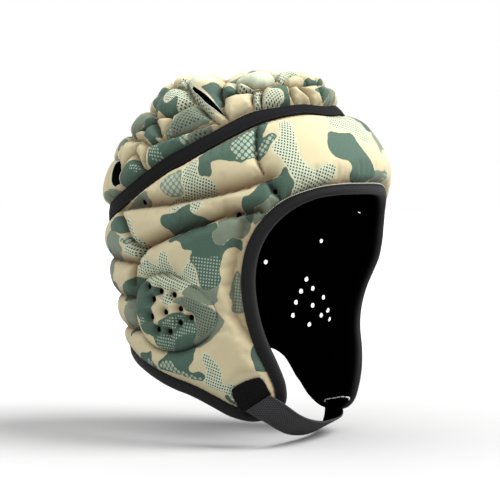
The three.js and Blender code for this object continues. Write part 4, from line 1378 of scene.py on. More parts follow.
def ear_pad(side):
    """Raised pad over an ear, with its holes and the shade painted round its rim and its holes."""
    ear = EARS[side]
    columns, rows = EAR_GRID
    long, tall = EAR_LONG + EAR_MARGIN, EAR_TALL * EAR_TALL_SHARE + EAR_MARGIN
    ahead, above = np.meshgrid(np.linspace(-long, long, columns + 1), np.linspace(-tall, tall, rows + 1))
    angle, level = place_of(ear_point(ear, ahead, above))
    plane = np.stack([ahead, above], -1)
    outline = EGG + EAR_TUCK * unit(EGG)
    limits = [(depth_in(plane, outline), place_of(ear_point(ear, *outline.T)))]
    for hole in EAR_HOLES[side]:
        away = np.hypot(*np.moveaxis(plane - hole, -1, 0)) - HOLE_RADIUS
        centre = form(*place_of(ear_point(ear, *hole)))
        limits.append((away, ring_places(centre, ear["forward"], ear["up"], HOLE_RADIUS)))
    keep = trim(angle, level, limits, False)
    plane = ear_plane(ear, form(angle, level))
    depth = depth_in(plane, EGG)
    tuck = np.clip(-depth / EAR_TUCK, 0, 1)
    depth = np.maximum(depth, 0)
    upper = np.clip(plane[..., 1] / EAR_TALL + EAR_SHOULDER_RISE, 0, 1)
    rise = shoulder(depth / (EAR_SHOULDER - EAR_SHOULDER_CUT * upper))
    floor_height = ear_floor(plane)
    height = blend(floor_height, EAR_TOP, rise) - tuck
    # Shade painted round the pad's rim, and below round each hole
    painted_shade = EAR_RIM_SHADE * (1 - rise) * ear_seam_share(floor_height)
    seam = depth
    for hole in EAR_HOLES[side]:
        away = np.hypot(*np.moveaxis(plane - hole, -1, 0))
        height = height - dimple(away, *HOLE_DIMPLE)
        painted_shade = np.maximum(painted_shade, dimple(away, *HOLE_SHADE))
        seam = np.minimum(seam, away - HOLE_RADIUS)
    slant = valley(depth / HOLE_SLANT_REACH)
    if side == "left":
        inner = along_sight(angle, level, EAR_INSIDE, slant)
    else:
        inner = place_of(ear_point(ear, plane[..., 0] + RIGHT_HOLE_SLANT * slant, plane[..., 1]))
    skin = puffed(shell(angle, level, height), seam, False)
    layers = {"painted_shade": painted_shade, **side_print(angle, level)}
    inside = shell(*inner, EAR_INSIDE)
    return cloth_piece("ear_pad_" + side, skin, inside, unroll(angle, level), layers, keep)


# Margin by which the lining's holes are wider than the vents and the ear holes, in millimetres
LINING_HOLE_MARGIN = 0.4


def side_lining():
    """Black cloth inside the side panel, open where the vents and the ear holes come through."""
    angle, level, points, limits = side_start(LINING_GRID, LINING_TRIM)
    radius = HOLE_RADIUS + LINING_HOLE_MARGIN
    for vent in VENTS:
        ring = vent_ring(*vent, VENT_RADIUS + LINING_HOLE_MARGIN)
        limits.append((away_from(points, *vent) - radius, ring))
    for side, ear in EARS.items():
        for ahead, above in EAR_HOLES[side]:
            hole = place_of(ear_point(ear, ahead + (RIGHT_HOLE_SLANT if side == "right" else 0), above))
            if side == "left":
                hole = along_sight(*hole, (LINING_OUTSIDE + LINING_INSIDE) / 2, np.ones(()))
            centre = form(*hole)
            ring = ring_places(centre, ear["forward"], ear["up"], radius)
            limits.append((np.linalg.norm(points - centre, axis=-1) - radius, ring))
    keep = trim(angle, level, limits, True)
    same_side(angle)
    outside, inside = [shell(*slanted_inside(angle, level, height), height)
                       for height in (LINING_OUTSIDE, LINING_INSIDE)]
    return cloth_piece("side_lining_cloth", outside, inside, unroll(angle, level), {}, keep)


def swept_band(name, loops, plane, inward):
    """A closed band from loops of points round the head: its profile is closed too."""
    loops = np.asarray(loops)
    rows, columns = loops.shape[0], loops.shape[1]
    obj, row, column = grid_mesh(name, columns, rows)
    put_points(obj, loops[row % rows, column % columns])
    put_attribute(obj, "inward", inward[row % rows])
    across = np.arange(rows + 1)[:, None] * np.ones(columns + 1)
    length = np.arange(columns + 1)[None] * np.ones((rows + 1, 1))
    put_cloth_map(obj, np.stack([length * plane[0], across * plane[1]], -1)[row, column])
    cut_and_merge(obj, np.ones(len(row), bool))
    return obj


# Profile of the tape, by shares of its half width and heights, with a stitched dip by each edge
TAPE_PROFILE = [
    (-1, -3.9), (-1.02, -3.0), (-0.93, -2.35), (-0.78, -2.5), (-0.5, -2.0), (0, -1.8),
    (0.5, -2.0), (0.78, -2.5), (0.93, -2.35), (1.02, -3.0), (1, -3.9), (0, -4.4),
]
TAPE_STEPS = 480
TAPE_CLOTH = (1.2, 1.0)
TAPE_TURN = np.linspace(-180, 180, TAPE_STEPS, endpoint=False)
TAPE_PLACES = (TAPE_TURN, level_of(tape_height(TAPE_TURN)))
# Profile of the binding, by millimetres in from the free edge and heights; its inward side is painted dead
# black as shade
BINDING_PROFILE = [
    (9.8, -3.8), (9.9, -2.7), (9.3, -2.2), (8.3, -2.45), (6.5, -1.7), (4, -1.5), (2, -1.9), (0.7, -3.0),
    (0, -4.8), (-0.1, -7), (0.1, -9.2), (0.9, -11), (2.4, -12), (5, -12.5), (8, -12.5), (9.6, -12.1),
    (9.6, -10), (8.0, -7),
]
BINDING_CLOTH = (1.6, 1.0)
# Height below which the binding faces inward and is painted black as shade, and the blend of that
INWARD_HEIGHT = -5.0
INWARD_BLEND = 3
# Share of its width that the binding has over the forehead, and where that ends, in degrees
FOREHEAD_BINDING = 0.78
FOREHEAD_BINDING_END = 46
FOREHEAD_BINDING_BLEND = 18


def tape():
    angle, level = even_places(*TAPE_PLACES, TAPE_STEPS)
    half = tape_half(angle)[:, None]
    loops = [inset_line(angle, level, across * half, height) for across, height in TAPE_PROFILE]
    return swept_band("crown_tape", loops, TAPE_CLOTH, np.zeros(len(loops)))


def binding_share(angle):
    """Width of the binding at an angle: narrower over the forehead."""
    forehead = valley((FOREHEAD_BINDING_END - np.abs(angle)) / FOREHEAD_BINDING_BLEND)
    return 1 - (1 - FOREHEAD_BINDING) * forehead[:, None]


def binding():
    width = binding_share(EDGE_ANGLE)
    loops = [inset_line(EDGE_ANGLE, EDGE_LEVEL, inset * width, height) for inset, height in BINDING_PROFILE]
    inward = valley((INWARD_HEIGHT - np.array(BINDING_PROFILE)[:, 1]) / INWARD_BLEND)
    return swept_band("edge_binding_tape", loops, BINDING_CLOTH, inward)


# Raised stitches and fibres: shares of a thread's length with the thickness there, its sides and its lift
SPINDLE = [(0.14, 0.75), (0.5, 1.0), (0.86, 0.75)]
SPINDLE_SIDES = 6
SPINDLE_LIFT = 0.4


def spindles(name, starts, ends, outs, radius):
    """Short round threads from points to points, pointed at both ends."""
    ahead = unit(ends - starts)
    side = unit(np.cross(ahead, outs))
    up = np.cross(side, ahead)
    turn = np.arange(SPINDLE_SIDES) * 2 * math.pi / SPINDLE_SIDES
    ring = np.cos(turn)[:, None, None] * side + np.sin(turn)[:, None, None] * up
    parts = [starts[None]]
    for share, thick in SPINDLE:
        parts.append(starts + (ends - starts) * share + radius * thick * (ring + SPINDLE_LIFT * up))
    parts.append(ends[None])
    points = np.concatenate(parts).transpose(1, 0, 2)
    last = 1 + len(SPINDLE) * SPINDLE_SIDES
    faces = []
    for k in range(SPINDLE_SIDES):
        after = (k + 1) % SPINDLE_SIDES
        faces.append((0, 1 + after, 1 + k))
        for level in range(len(SPINDLE) - 1):
            a, b = 1 + level * SPINDLE_SIDES, 1 + (level + 1) * SPINDLE_SIDES
            faces.append((a + k, a + after, b + after, b + k))
        faces.append((last - SPINDLE_SIDES + k, last - SPINDLE_SIDES + after, last))
    count = points.shape[1]
    every = [tuple(corner + number * count for corner in face)
             for number in range(len(points)) for face in faces]
    mesh = bpy.data.meshes.new(name)
    mesh.from_pydata((points.reshape(-1, 3) * MM).tolist(), [], every)
    obj = bpy.data.objects.new(name, mesh)
    bpy.context.scene.collection.objects.link(obj)
    return obj


STITCH_PITCH = 3.2
STITCH_SHARE = 3
STITCH_STEPS = 4
STITCH_RADIUS = 0.3
# Where the stitches run: share of the tape's half width, or millimetres in from the free edge, and height
TAPE_STITCHED = 0.78
TAPE_STITCH_HEIGHT = -2.4
BINDING_STITCHED = 8.4
BINDING_STITCH_HEIGHT = -2.3
LIP_RADIUS = 0.35
# The pale line above the forehead binding, a cut edge painted pale as a highlight: thickness, end in
# degrees, lowest place, inset and height
RAW_EDGE_RADIUS = 0.4
RAW_EDGE_REACH = 47
RAW_EDGE_LOWEST = -30
RAW_EDGE_INSET = 10.1
RAW_EDGE_HEIGHT = -2.7


def stitch_row(name, angle, level, inset, height):
    """Even stitches beside a closed line on the head."""
    loop = form(angle, level)
    length = np.linalg.norm(np.roll(loop, -1, 0) - loop, axis=1).sum()
    steps = int(length / STITCH_PITCH) * STITCH_STEPS
    places = even_places(angle, level, steps)
    points = inset_line(*places, inset(places[0]), height)
    outs = normal(*places)[::STITCH_STEPS]
    return spindles(name, points[::STITCH_STEPS], points[STITCH_SHARE::STITCH_STEPS], outs, STITCH_RADIUS)


def join_threads(obj, threads, material):
    """Makes stitches part of the piece that they are sewn in."""
    activate(obj)
    for sewn in threads:
        sewn.data.materials.append(material)
        sewn.select_set(True)
    bpy.ops.object.join()


def tape_stitches():
    """A row of stitches along each edge of the tape."""
    def beside(sign):
        return lambda angle: sign * TAPE_STITCHED * tape_half(angle)[:, None]

    return [stitch_row("tape_stitches", *TAPE_PLACES, beside(sign), TAPE_STITCH_HEIGHT) for sign in (-1, 1)]


def dart_lips():
    """Pale cut edge of the laminate round each dart."""
    lips = []
    for places in DART_PLACES:
        height, _, _ = crown_height(*places)
        points = shell(*places, height)
        lips.append(spindles("dart_lips", points, np.roll(points, -1, 0), normal(*places), LIP_RADIUS))
    return lips


def binding_stitches():
    """A row of stitches along the inner edge of the binding."""
    def beside(angle):
        return BINDING_STITCHED * binding_share(angle)

    return [stitch_row("binding_stitches", EDGE_ANGLE, EDGE_LEVEL, beside, BINDING_STITCH_HEIGHT)]


def cut_edge_glint():
    """Cut edge of the print above the binding on the forehead, painted pale as a highlight."""
    points = inset_line(EDGE_ANGLE, EDGE_LEVEL, RAW_EDGE_INSET * binding_share(EDGE_ANGLE), RAW_EDGE_HEIGHT)
    forehead = (np.abs(EDGE_ANGLE) < RAW_EDGE_REACH) & (EDGE_POINTS[:, 2] > RAW_EDGE_LOWEST)
    chosen = np.flatnonzero(forehead)
    outs = normal(EDGE_ANGLE, EDGE_LEVEL)[chosen]
    return spindles("cut_edge_glint", points[chosen], np.roll(points, -1, 0)[chosen], outs, RAW_EDGE_RADIUS)


# White tacking inside the left flap, where the strap's end is sewn in: angle, height, height off the form
TACKING_RADIUS = 0.5
TACKING = [
    (65.4, -165.6, -13.5), (65.8, -163.4, -13.5), (59.2, -161.9, -13.5), (52.6, -160.4, -13.5),
    (46.2, -159.0, -13.4), (43.4, -158.3, -11.2), (42.4, -158.0, -7.5), (42.7, -160.2, -7.5),
]


def tacking():
    angle, z, height = np.transpose(TACKING)
    points = shell(angle, level_of(z), height)
    outs = -normal(angle, level_of(z))
    return spindles("tacking", points[:-1], points[1:], outs[:-1], TACKING_RADIUS)


# Chin strap: its first millimetres are cut off on a slant, and the rest draws up within a reach
STRAP_STEPS = 180
STRAP_TRIM = 8.0
STRAP_SLANT = 0.41
STRAP_CUT_REACH = 40
# Below this, in millimetres out of its face, the strap's inner face is painted black as shade
STRAP_INNER_FACE = -0.5
# Its middle line from the patch on the right flap to the inside of the left flap, and across it
STRAP_LINE = np.array([
    [-70.4, -60.1, -145.5], [-64.3, -67.2, -151.5], [-56, -73, -157.5], [-41, -74.3, -165.5],
    [-22, -70, -171], [0, -65, -174.5], [20, -60, -175], [38, -53, -175],
    [50, -47, -173.5], [57, -42.5, -170], [60.5, -40, -164], [62.5, -39, -156], [63.5, -39, -149],
])
STRAP_ACROSS = np.array([
    [0.14, -0.54, 0.81], [0.2, -0.58, 0.79], [0.2, -0.65, 0.73], [0.1, -0.75, 0.65],
    [0, -0.8, 0.6], [0, -0.85, 0.53], [0, -0.87, 0.49], [-0.1, -0.89, 0.4],
    [-0.2, -0.92, 0.3], [-0.3, -0.93, 0.2], [-0.36, -0.93, 0.12], [-0.38, -0.92, 0.1], [-0.38, -0.92, 0.1],
])


def strap_frame(steps):
    """Middle line of the strap, with the directions across it and out of its face."""
    middle = through(STRAP_LINE, steps)
    ahead = unit(np.gradient(middle, axis=0))
    across = through(STRAP_ACROSS, steps)
    across = unit(across - ahead * np.einsum("ij,ij->i", across, ahead)[:, None])
    return middle, across, unit(np.cross(ahead, across))


# Profile of the strap, by millimetres across it and out of its face
STRAP_PROFILE = [
    (-10, -0.2), (-9.6, 0.75), (-8.2, 0.9), (-7.6, 0.7), (-7, 0.9), (-3, 0.95), (0, 0.95), (3, 0.95),
    (7, 0.9), (7.6, 0.7), (8.2, 0.9), (9.6, 0.75), (10, -0.2), (9.6, -0.8), (5, -0.9), (0, -0.9),
    (-5, -0.9), (-9.6, -0.8),
]


def strap():
    lines = strap_frame(STRAP_STEPS)
    profile = np.array(STRAP_PROFILE)
    length = run_length(lines[0])
    cut = STRAP_TRIM + STRAP_SLANT * profile[:, :1]
    spot = length + cut * np.clip(1 - length / STRAP_CUT_REACH, 0, 1)
    middle, across, face = [along_line(spot, length, line) for line in lines]
    loops = middle + profile[:, 0, None, None] * across + profile[:, 1, None, None] * face
    rows = len(profile)
    obj, row, column = grid_mesh("chin_strap_elastic", STRAP_STEPS - 1, rows)
    put_points(obj, loops[row % rows, column])
    wide = np.concatenate([profile[:, 0], profile[:1, 0]])
    plane = np.stack(np.broadcast_arrays(np.vstack([spot, spot[:1]]), wide[:, None]), -1)
    put_cloth_map(obj, plane[row, column])
    # The strap's inner face is marked to be painted black as shade
    put_attribute(obj, "inward", (profile[row % rows, 1] < STRAP_INNER_FACE).astype(float))
    cut_and_merge(obj, np.ones(len(row), bool))
    bpy.ops.object.mode_set(mode="EDIT")
    bpy.ops.mesh.select_all(action="DESELECT")
    bpy.ops.mesh.select_non_manifold()
    bpy.ops.mesh.fill_holes(sides=0)
    bpy.ops.mesh.select_all(action="SELECT")
    bpy.ops.mesh.normals_make_consistent(inside=False)
    bpy.ops.object.mode_set(mode="OBJECT")
    return obj


# The patch's pile: cells of its grid, its cut corners, the height of the pile and how deep its back lies
PATCH_CELLS = 48
PATCH_ROUNDING = 0.1
PILE_HEIGHT = 0.7
PILE_DROP = 0.5
PATCH_SINK = 0.2
# Loose fibres: count, length with its least and largest share, thickness, share along the edges, height
# in the pile, stray, and the way that they face
FIBRES = 1500
FIBRE_LENGTH = 1.3
FIBRE_SHARES = (0.6, 1.2)
FIBRE_RADIUS = 0.09
EDGE_FIBRES = 0.6
FIBRE_ROOT = 0.6
FIBRE_STRAY = 0.5
FIBRE_FACE = (0.3, 0.2, 1.0)


def patch_frame():
    """Middle of the patch, with the directions out of it, along it and across it."""
    place = PATCH["angle"], level_of(PATCH["z"])
    out = normal(*place)
    flat = unit(np.cross([0, 0, 1], out))
    turn = math.radians(PATCH["turn"])
    along = flat * math.cos(turn) + np.cross(out, flat) * math.sin(turn)
    return form(*place), out, along, np.cross(along, out)


def patch():
    """Fuzzy square that the strap's end is pressed on."""
    middle, _, along, across = patch_frame()
    obj, row, column = grid_mesh("strap_patch_pile", PATCH_CELLS, PATCH_CELLS)
    a = column / PATCH_CELLS * 2 - 1
    b = row / PATCH_CELLS * 2 - 1
    rounding = 1 - PATCH_ROUNDING * (a * b) ** 4
    a = a * rounding * PATCH["along"]
    b = b * rounding * PATCH["across"]
    places = place_of(middle + a[:, None] * along + b[:, None] * across)
    pile = np.random.default_rng(5).random(len(a)) * PILE_HEIGHT
    put_points(obj, shell(*places, PATCH["lift"] + PATCH["thick"] - PILE_DROP + pile))
    put_attribute(obj, "inner", shell(*places, PATCH["lift"] - PATCH_SINK) * MM)
    put_cloth_map(obj, np.stack([a, b], -1))
    cut_and_merge(obj, np.ones(len(a), bool))
    return obj


def patch_fibres():
    """Loose fibres that stand out of the patch, most of them along its edges."""
    draw = np.random.default_rng(8)
    middle, out, along, across = patch_frame()
    share = draw.uniform(-1, 1, (FIBRES, 2))
    edge = np.abs(share).argmax(1)
    at_edge = draw.random(FIBRES) < EDGE_FIBRES
    rows = np.arange(FIBRES)[at_edge]
    share[rows, edge[at_edge]] = np.sign(share[rows, edge[at_edge]])
    spots = middle + share[:, :1] * PATCH["along"] * along + share[:, 1:] * PATCH["across"] * across
    starts = shell(*place_of(spots), PATCH["lift"] + FIBRE_ROOT * PATCH["thick"])
    lean = draw.normal(size=(FIBRES, 3)) * FIBRE_STRAY + out
    lean = lean + at_edge[:, None] * (share[:, :1] * along + share[:, 1:] * across)
    ends = starts + unit(lean) * FIBRE_LENGTH * draw.uniform(*FIBRE_SHARES, (FIBRES, 1))
    return spindles("patch_fibres", starts, ends, np.broadcast_to(FIBRE_FACE, starts.shape), FIBRE_RADIUS)


# Finishes
def srgb(red, green, blue):
    """Linear colour of a colour given as it shows on a screen, 0 to 255."""
    return [((c / 255 + 0.055) / 1.055) ** 2.4 if c > 10 else c / 255 / 12.92
            for c in (red, green, blue)] + [1]


def darker(colour, share):
    """The same colour with a share of its light."""
    return [c * share for c in colour[:3]] + [1]


BEIGE = srgb(178, 168, 136)
SAGE = srgb(104, 114, 98)
GREEN = srgb(62, 84, 72)
MINT = srgb(174, 184, 162)
# Warm dark tint of the shade painted into the creases and by the seams
PAINTED_SHADE_TINT = (0.3, 0.21, 0.14, 1)
# Dead black painted as shade on the inward side of the binding and the strap
INSIDE_SHADE_BLACK = srgb(2, 2, 2)
DARK_DOT = srgb(40, 52, 43)
PALE_SHARE = 0.62
PALE_BLOB = srgb(170, 183, 162)
PALE_DOT = srgb(168, 184, 164)
# Repeats of dots: layer, pitch, turn, radius, depth at which they are full, softness, share of ink, ink
DOT_ROWS = [
    ("dots", 2.1, 0.28, 0.62, 1.0, 0.3, 1.0, DARK_DOT),
    ("lattice", 3.6, 0.7, 1.46, 1.0, 0.45, PALE_SHARE, PALE_BLOB),
    ("speckle", 2.3, 0.1, 0.66, 0.8, 0.35, PALE_SHARE, PALE_DOT),
]
# Printed cloth: wobble and softness of the patches' edges in millimetres, its pale ground, knit and wear
EDGE_WOBBLE = 0.55
WOBBLE_SCALE = 0.35
PRINT_SOFT = 0.35
GROUND_SOFT = 1.2
GROUND_SHARE = 0.85
PRINT_PITCH = 0.75
WORN_SCALE = 0.06
WORN_SHADE = (0.16, 0.86)
WORN_ROUGHNESS = (0.2, 0.62)
# Painted shade of the knit's low places, added to the print's tone
KNIT_SHADE = 0.1
# Power by which the dots are squarer than round ones
DOT_POWER = 2.4
SHEEN_ROUGHNESS = 0.5


class Bench:
    """Short calls for the nodes of one tree."""

    def __init__(self, tree):
        self.tree = tree

    def node(self, kind, **settings):
        node = self.tree.nodes.new(kind)
        for name, value in settings.items():
            setattr(node, name, value)
        return node

    def put(self, socket, value):
        if isinstance(value, bpy.types.NodeSocket):
            self.tree.links.new(value, socket)
        else:
            socket.default_value = value

    def maths(self, operation, *values, clamp=False):
        node = self.node("ShaderNodeMath", operation=operation, use_clamp=clamp)
        for socket, value in zip(node.inputs, values):
            self.put(socket, value)
        return node.outputs[0]

    def length(self, place):
        node = self.node("ShaderNodeVectorMath", operation="LENGTH")
        self.put(node.inputs[0], place)
        return node.outputs["Value"]

    def mix(self, share, first, second, mode="MIX"):
        node = self.node("ShaderNodeMix", data_type="RGBA", blend_type=mode)
        self.put(node.inputs["Factor"], share)
        self.put(node.inputs[6], first)
        self.put(node.inputs[7], second)
        return node.outputs[2]

    def noise(self, place, scale, detail=2.0, roughness=0.5):
        node = self.node("ShaderNodeTexNoise")
        self.put(node.inputs["Vector"], place)
        self.put(node.inputs["Scale"], scale)
        node.inputs["Detail"].default_value = detail
        node.inputs["Roughness"].default_value = roughness
        return node.outputs["Fac"]

    def split(self, place):
        node = self.node("ShaderNodeSeparateXYZ")
        self.put(node.inputs[0], place)
        return node.outputs

    def layer(self, name):
        return self.node("ShaderNodeAttribute", attribute_name=name).outputs["Fac"]

    def cloth_map(self):
        return self.node("ShaderNodeUVMap", uv_map="cloth").outputs["UV"]

    def group(self, tree, **values):
        node = self.node("ShaderNodeGroup", node_tree=tree)
        for name, value in values.items():
            self.put(node.inputs[name], value)
        return node.outputs

    def crisp(self, depth, soft):
        """Mask of a layer from its depth in millimetres, with an edge of a given softness."""
        return self.maths("ADD", self.maths("DIVIDE", depth, soft), 0.5, clamp=True)


def new_group(name, numbers, results):
    """A node group that takes a place and some numbers, with its bench and sockets."""
    tree = bpy.data.node_groups.new(name, "ShaderNodeTree")
    tree.interface.new_socket("Place", in_out="INPUT", socket_type="NodeSocketVector")
    for direction, names in (("INPUT", numbers), ("OUTPUT", results)):
        for socket in names:
            tree.interface.new_socket(socket, in_out=direction, socket_type="NodeSocketFloat")
    bench = Bench(tree)
    return tree, bench, bench.node("NodeGroupInput").outputs, bench.node("NodeGroupOutput").inputs


def knit_group():
    """Fine knit of stretch cloth: its height, and a shade painted darker where the knit lies low."""
    tree, bench, given, made = new_group("fine_knit", ["Pitch"], ["Height", "Shade"])
    spot = bench.split(given["Place"])
    across, along = [bench.maths("MULTIPLY", bench.maths("DIVIDE", spot[axis], given["Pitch"]), 2 * math.pi)
                     for axis in ("X", "Y")]
    lean = bench.maths("ABSOLUTE", bench.maths("SINE", across))
    loop = bench.maths("SINE", bench.maths("ADD", along, bench.maths("MULTIPLY", lean, 2.0)))
    height = bench.maths("ADD", bench.maths("MULTIPLY", lean, 0.6), bench.maths("MULTIPLY", loop, 0.4))
    bench.put(made["Height"], height)
    bench.put(made["Shade"], bench.maths("MULTIPLY_ADD", height, 0.5, 0.5))
    return tree


def dot_group():
    """Distance from the nearest dot of a turned square repeat, in millimetres."""
    tree, bench, given, made = new_group("dot_repeat", ["Pitch", "Turn"], ["Distance"])
    spin = bench.node("ShaderNodeVectorRotate", rotation_type="Z_AXIS")
    bench.put(spin.inputs["Vector"], given["Place"])
    bench.put(spin.inputs["Angle"], given["Turn"])
    spot = bench.split(spin.outputs[0])
    gaps = []
    for axis in ("X", "Y"):
        steps = bench.maths("DIVIDE", spot[axis], given["Pitch"])
        gap = bench.maths("SUBTRACT", bench.maths("FRACT", steps), 0.5)
        gaps.append(bench.maths("POWER", bench.maths("ABSOLUTE", gap), DOT_POWER))
    length = bench.maths("POWER", bench.maths("ADD", *gaps), 1 / DOT_POWER)
    bench.put(made["Distance"], bench.maths("MULTIPLY", length, given["Pitch"]))
    return tree


def webbing_group():
    """Plain weave of narrow webbing: short ribs across it, each row shifted by half a rib."""
    tree, bench, given, made = new_group("webbing_weave", ["Along", "Across"], ["Height"])
    spot = bench.split(given["Place"])
    rows = bench.maths("DIVIDE", spot["X"], given["Along"])
    shift = bench.maths("MULTIPLY", bench.maths("MODULO", bench.maths("FLOOR", rows), 2.0), 0.5)
    ribs = bench.maths("ADD", bench.maths("DIVIDE", spot["Y"], given["Across"]), shift)
    waves = [bench.maths("SINE", bench.maths("MULTIPLY", bench.maths("FRACT", part), math.pi))
             for part in (rows, ribs)]
    bench.put(made["Height"], bench.maths("MULTIPLY", *waves))
    return tree


KNIT = knit_group()
DOTS = dot_group()
WEBBING = webbing_group()


def cloth_shader(name, roughness, sheen, specular):
    """A material, the bench of its nodes and its shader."""
    material = bpy.data.materials.new(name)
    material.use_nodes = True
    shader = material.node_tree.nodes["Principled BSDF"]
    shader.inputs["Roughness"].default_value = roughness
    shader.inputs["Specular IOR Level"].default_value = specular
    shader.inputs["Sheen Weight"].default_value = sheen
    shader.inputs["Sheen Roughness"].default_value = SHEEN_ROUGHNESS
    return material, Bench(material.node_tree), shader


def paint_shade_inside(bench, shader, colour, specular, sheen):
    """Paints shade on the inward side of cloth: dead black, with its sheen and specular taken away."""
    inward = bench.layer("inward")
    bench.put(shader.inputs["Base Color"], bench.mix(inward, colour, INSIDE_SHADE_BLACK))
    for name, value in (("Specular IOR Level", specular), ("Sheen Weight", sheen)):
        bench.put(shader.inputs[name], bench.maths("MULTIPLY_ADD", inward, -value, value))


def bumped(bench, shader, height, distance, strength):
    """Gives a shader a fine relief, its distance in metres."""
    bump = bench.node("ShaderNodeBump")
    bump.inputs["Strength"].default_value = strength
    bump.inputs["Distance"].default_value = distance
    bench.put(bump.inputs["Height"], height)
    bench.put(shader.inputs["Normal"], bump.outputs["Normal"])


def printed_cloth():
    """Stretch cloth with the camouflage print: crisp patches, halftone dots, pale cells and specks, and
    shade painted into its creases.
    """
    material, bench, shader = cloth_shader("camouflage_cloth", roughness=0.72, sheen=0.04, specular=0.2)
    place = bench.cloth_map()
    wobble = bench.noise(place, WOBBLE_SCALE, 1.0)
    wobble = bench.maths("MULTIPLY_ADD", wobble, 2 * EDGE_WOBBLE, -EDGE_WOBBLE)

    def mask(layer, soft=PRINT_SOFT):
        return bench.crisp(bench.maths("ADD", bench.layer(layer), wobble), soft)

    def dots(layer, pitch, turn, radius, full, soft):
        """Dots of a repeat, shrinking towards the edge of their patch."""
        gap = bench.group(DOTS, Place=place, Pitch=pitch, Turn=turn)["Distance"]
        inward = bench.maths("MULTIPLY", bench.layer(layer), 1 / full, clamp=True)
        size = bench.maths("MULTIPLY", inward, radius)
        return bench.crisp(bench.maths("SUBTRACT", size, gap), soft)

    sage, green, sand = mask("sage"), mask("green"), mask("sand")
    bare = bench.maths("SUBTRACT", 1.0, bench.maths("MAXIMUM", sage, green), clamp=True)
    bare = bench.maths("MAXIMUM", bare, sand)
    colour = bench.mix(sage, BEIGE, SAGE)
    colour = bench.mix(green, colour, GREEN)
    colour = bench.mix(sand, colour, BEIGE)
    ground = bench.maths("MAXIMUM", mask("dots", GROUND_SOFT), mask("mint", GROUND_SOFT))
    ground = bench.maths("MULTIPLY", bench.maths("MULTIPLY", ground, bare), GROUND_SHARE)
    colour = bench.mix(ground, colour, MINT)
    for layer, *repeat, share, ink in DOT_ROWS:
        colour = bench.mix(bench.maths("MULTIPLY", dots(layer, *repeat), share), colour, ink)
    knit = bench.group(KNIT, Place=place, Pitch=PRINT_PITCH)
    worn = bench.noise(place, WORN_SCALE, 4.0, 0.6)
    light = bench.maths("MULTIPLY_ADD", worn, *WORN_SHADE)
    # Random tone of wear, plus shade painted where the knit lies low
    light = bench.maths("ADD", light, bench.maths("MULTIPLY", knit["Shade"], KNIT_SHADE))
    tone = bench.node("ShaderNodeHueSaturation")
    bench.put(tone.inputs["Color"], colour)
    bench.put(tone.inputs["Value"], light)
    # Shade painted into the creases: a warm dark tint, multiplied in by the painted shade layer
    colour = bench.mix(bench.layer("painted_shade"), tone.outputs["Color"], PAINTED_SHADE_TINT, "MULTIPLY")
    bench.put(shader.inputs["Base Color"], colour)
    bench.put(shader.inputs["Roughness"], bench.maths("MULTIPLY_ADD", worn, *WORN_ROUGHNESS))
    bumped(bench, shader, knit["Height"], distance=0.00012, strength=0.5)
    return material


def black_cloth(name, colour, pitch, roughness, specular, sheen, depth):
    """Plain dyed knit, a little patchy, with shade painted where the knit lies low."""
    material, bench, shader = cloth_shader(name, roughness, sheen, specular)
    place = bench.cloth_map()
    knit = bench.group(KNIT, Place=place, Pitch=pitch)
    patchy = bench.noise(place, 0.12, 3.0)
    # Shade painted where the knit lies low, with a random patchy tone
    share = bench.maths("MULTIPLY_ADD", knit["Shade"], 0.6, bench.maths("MULTIPLY", patchy, 0.5))
    paint_shade_inside(bench, shader, bench.mix(share, darker(colour, 0.6), colour), specular, sheen)
    bench.put(shader.inputs["Roughness"], bench.maths("MULTIPLY_ADD", patchy, 0.16, roughness - 0.08))
    bumped(bench, shader, knit["Height"], depth, strength=0.6)
    return material


def webbing(name, colour, roughness, specular):
    """Woven elastic, with painted light and shade: rib tops pale, the gaps between the ribs dark."""
    material, bench, shader = cloth_shader(name, roughness, 0.0, specular)
    place = bench.cloth_map()
    weave = bench.group(WEBBING, Place=place, Along=1.5, Across=1.9)["Height"]
    uneven = bench.noise(place, 0.3, 3.0)
    # Gaps between the ribs painted dark as shade and rib tops pale as lit, with some random tone
    share = bench.maths("MULTIPLY_ADD", weave, 0.8, bench.maths("MULTIPLY", uneven, 0.35))
    paint_shade_inside(bench, shader, bench.mix(share, darker(colour, 0.22), colour), specular, 0.0)
    bench.put(shader.inputs["Roughness"], bench.maths("MULTIPLY_ADD", uneven, 0.2, roughness - 0.1))
    bumped(bench, shader, weave, distance=0.0004, strength=0.7)
    return material


def thread(name, colour, roughness):
    """Twisted thread."""
    material, bench, shader = cloth_shader(name, roughness, sheen=0.0, specular=0.2)
    twist = bench.noise(bench.node("ShaderNodeTexCoord").outputs["Object"], 2500.0, 1.0)
    bench.put(shader.inputs["Base Color"], bench.mix(twist, darker(colour, 0.6), colour))
    bench.put(shader.inputs["Roughness"], bench.maths("MULTIPLY_ADD", twist, 0.2, roughness - 0.1))
    bumped(bench, shader, twist, distance=0.0001, strength=0.5)
    return material


print_cloth = printed_cloth()
# Black cloths: colour, pitch of the knit, roughness, specular, sheen, depth of the knit in metres
laminate = black_cloth("black_laminate", srgb(6, 6, 7), 0.9, 0.9, 0.05, 0.0, 0.0001)
lining_knit = black_cloth("lining_knit", srgb(2, 2, 2), 0.9, 0.95, 0.0, 0.0, 0.0001)
tape_black = black_cloth("tape_twill", srgb(18, 18, 20), 0.8, 0.85, 0.1, 0.0, 0.00015)
binding_black = black_cloth("binding_knit", srgb(22, 22, 24), 0.8, 0.8, 0.15, 0.06, 0.00015)
pile_black = black_cloth("hook_pile", srgb(24, 22, 23), 0.6, 0.95, 0.05, 0.02, 0.0003)
strap_grey = webbing("strap_webbing", srgb(61, 61, 63), roughness=0.8, specular=0.12)
black_thread = thread("black_thread", srgb(28, 28, 31), roughness=0.7)
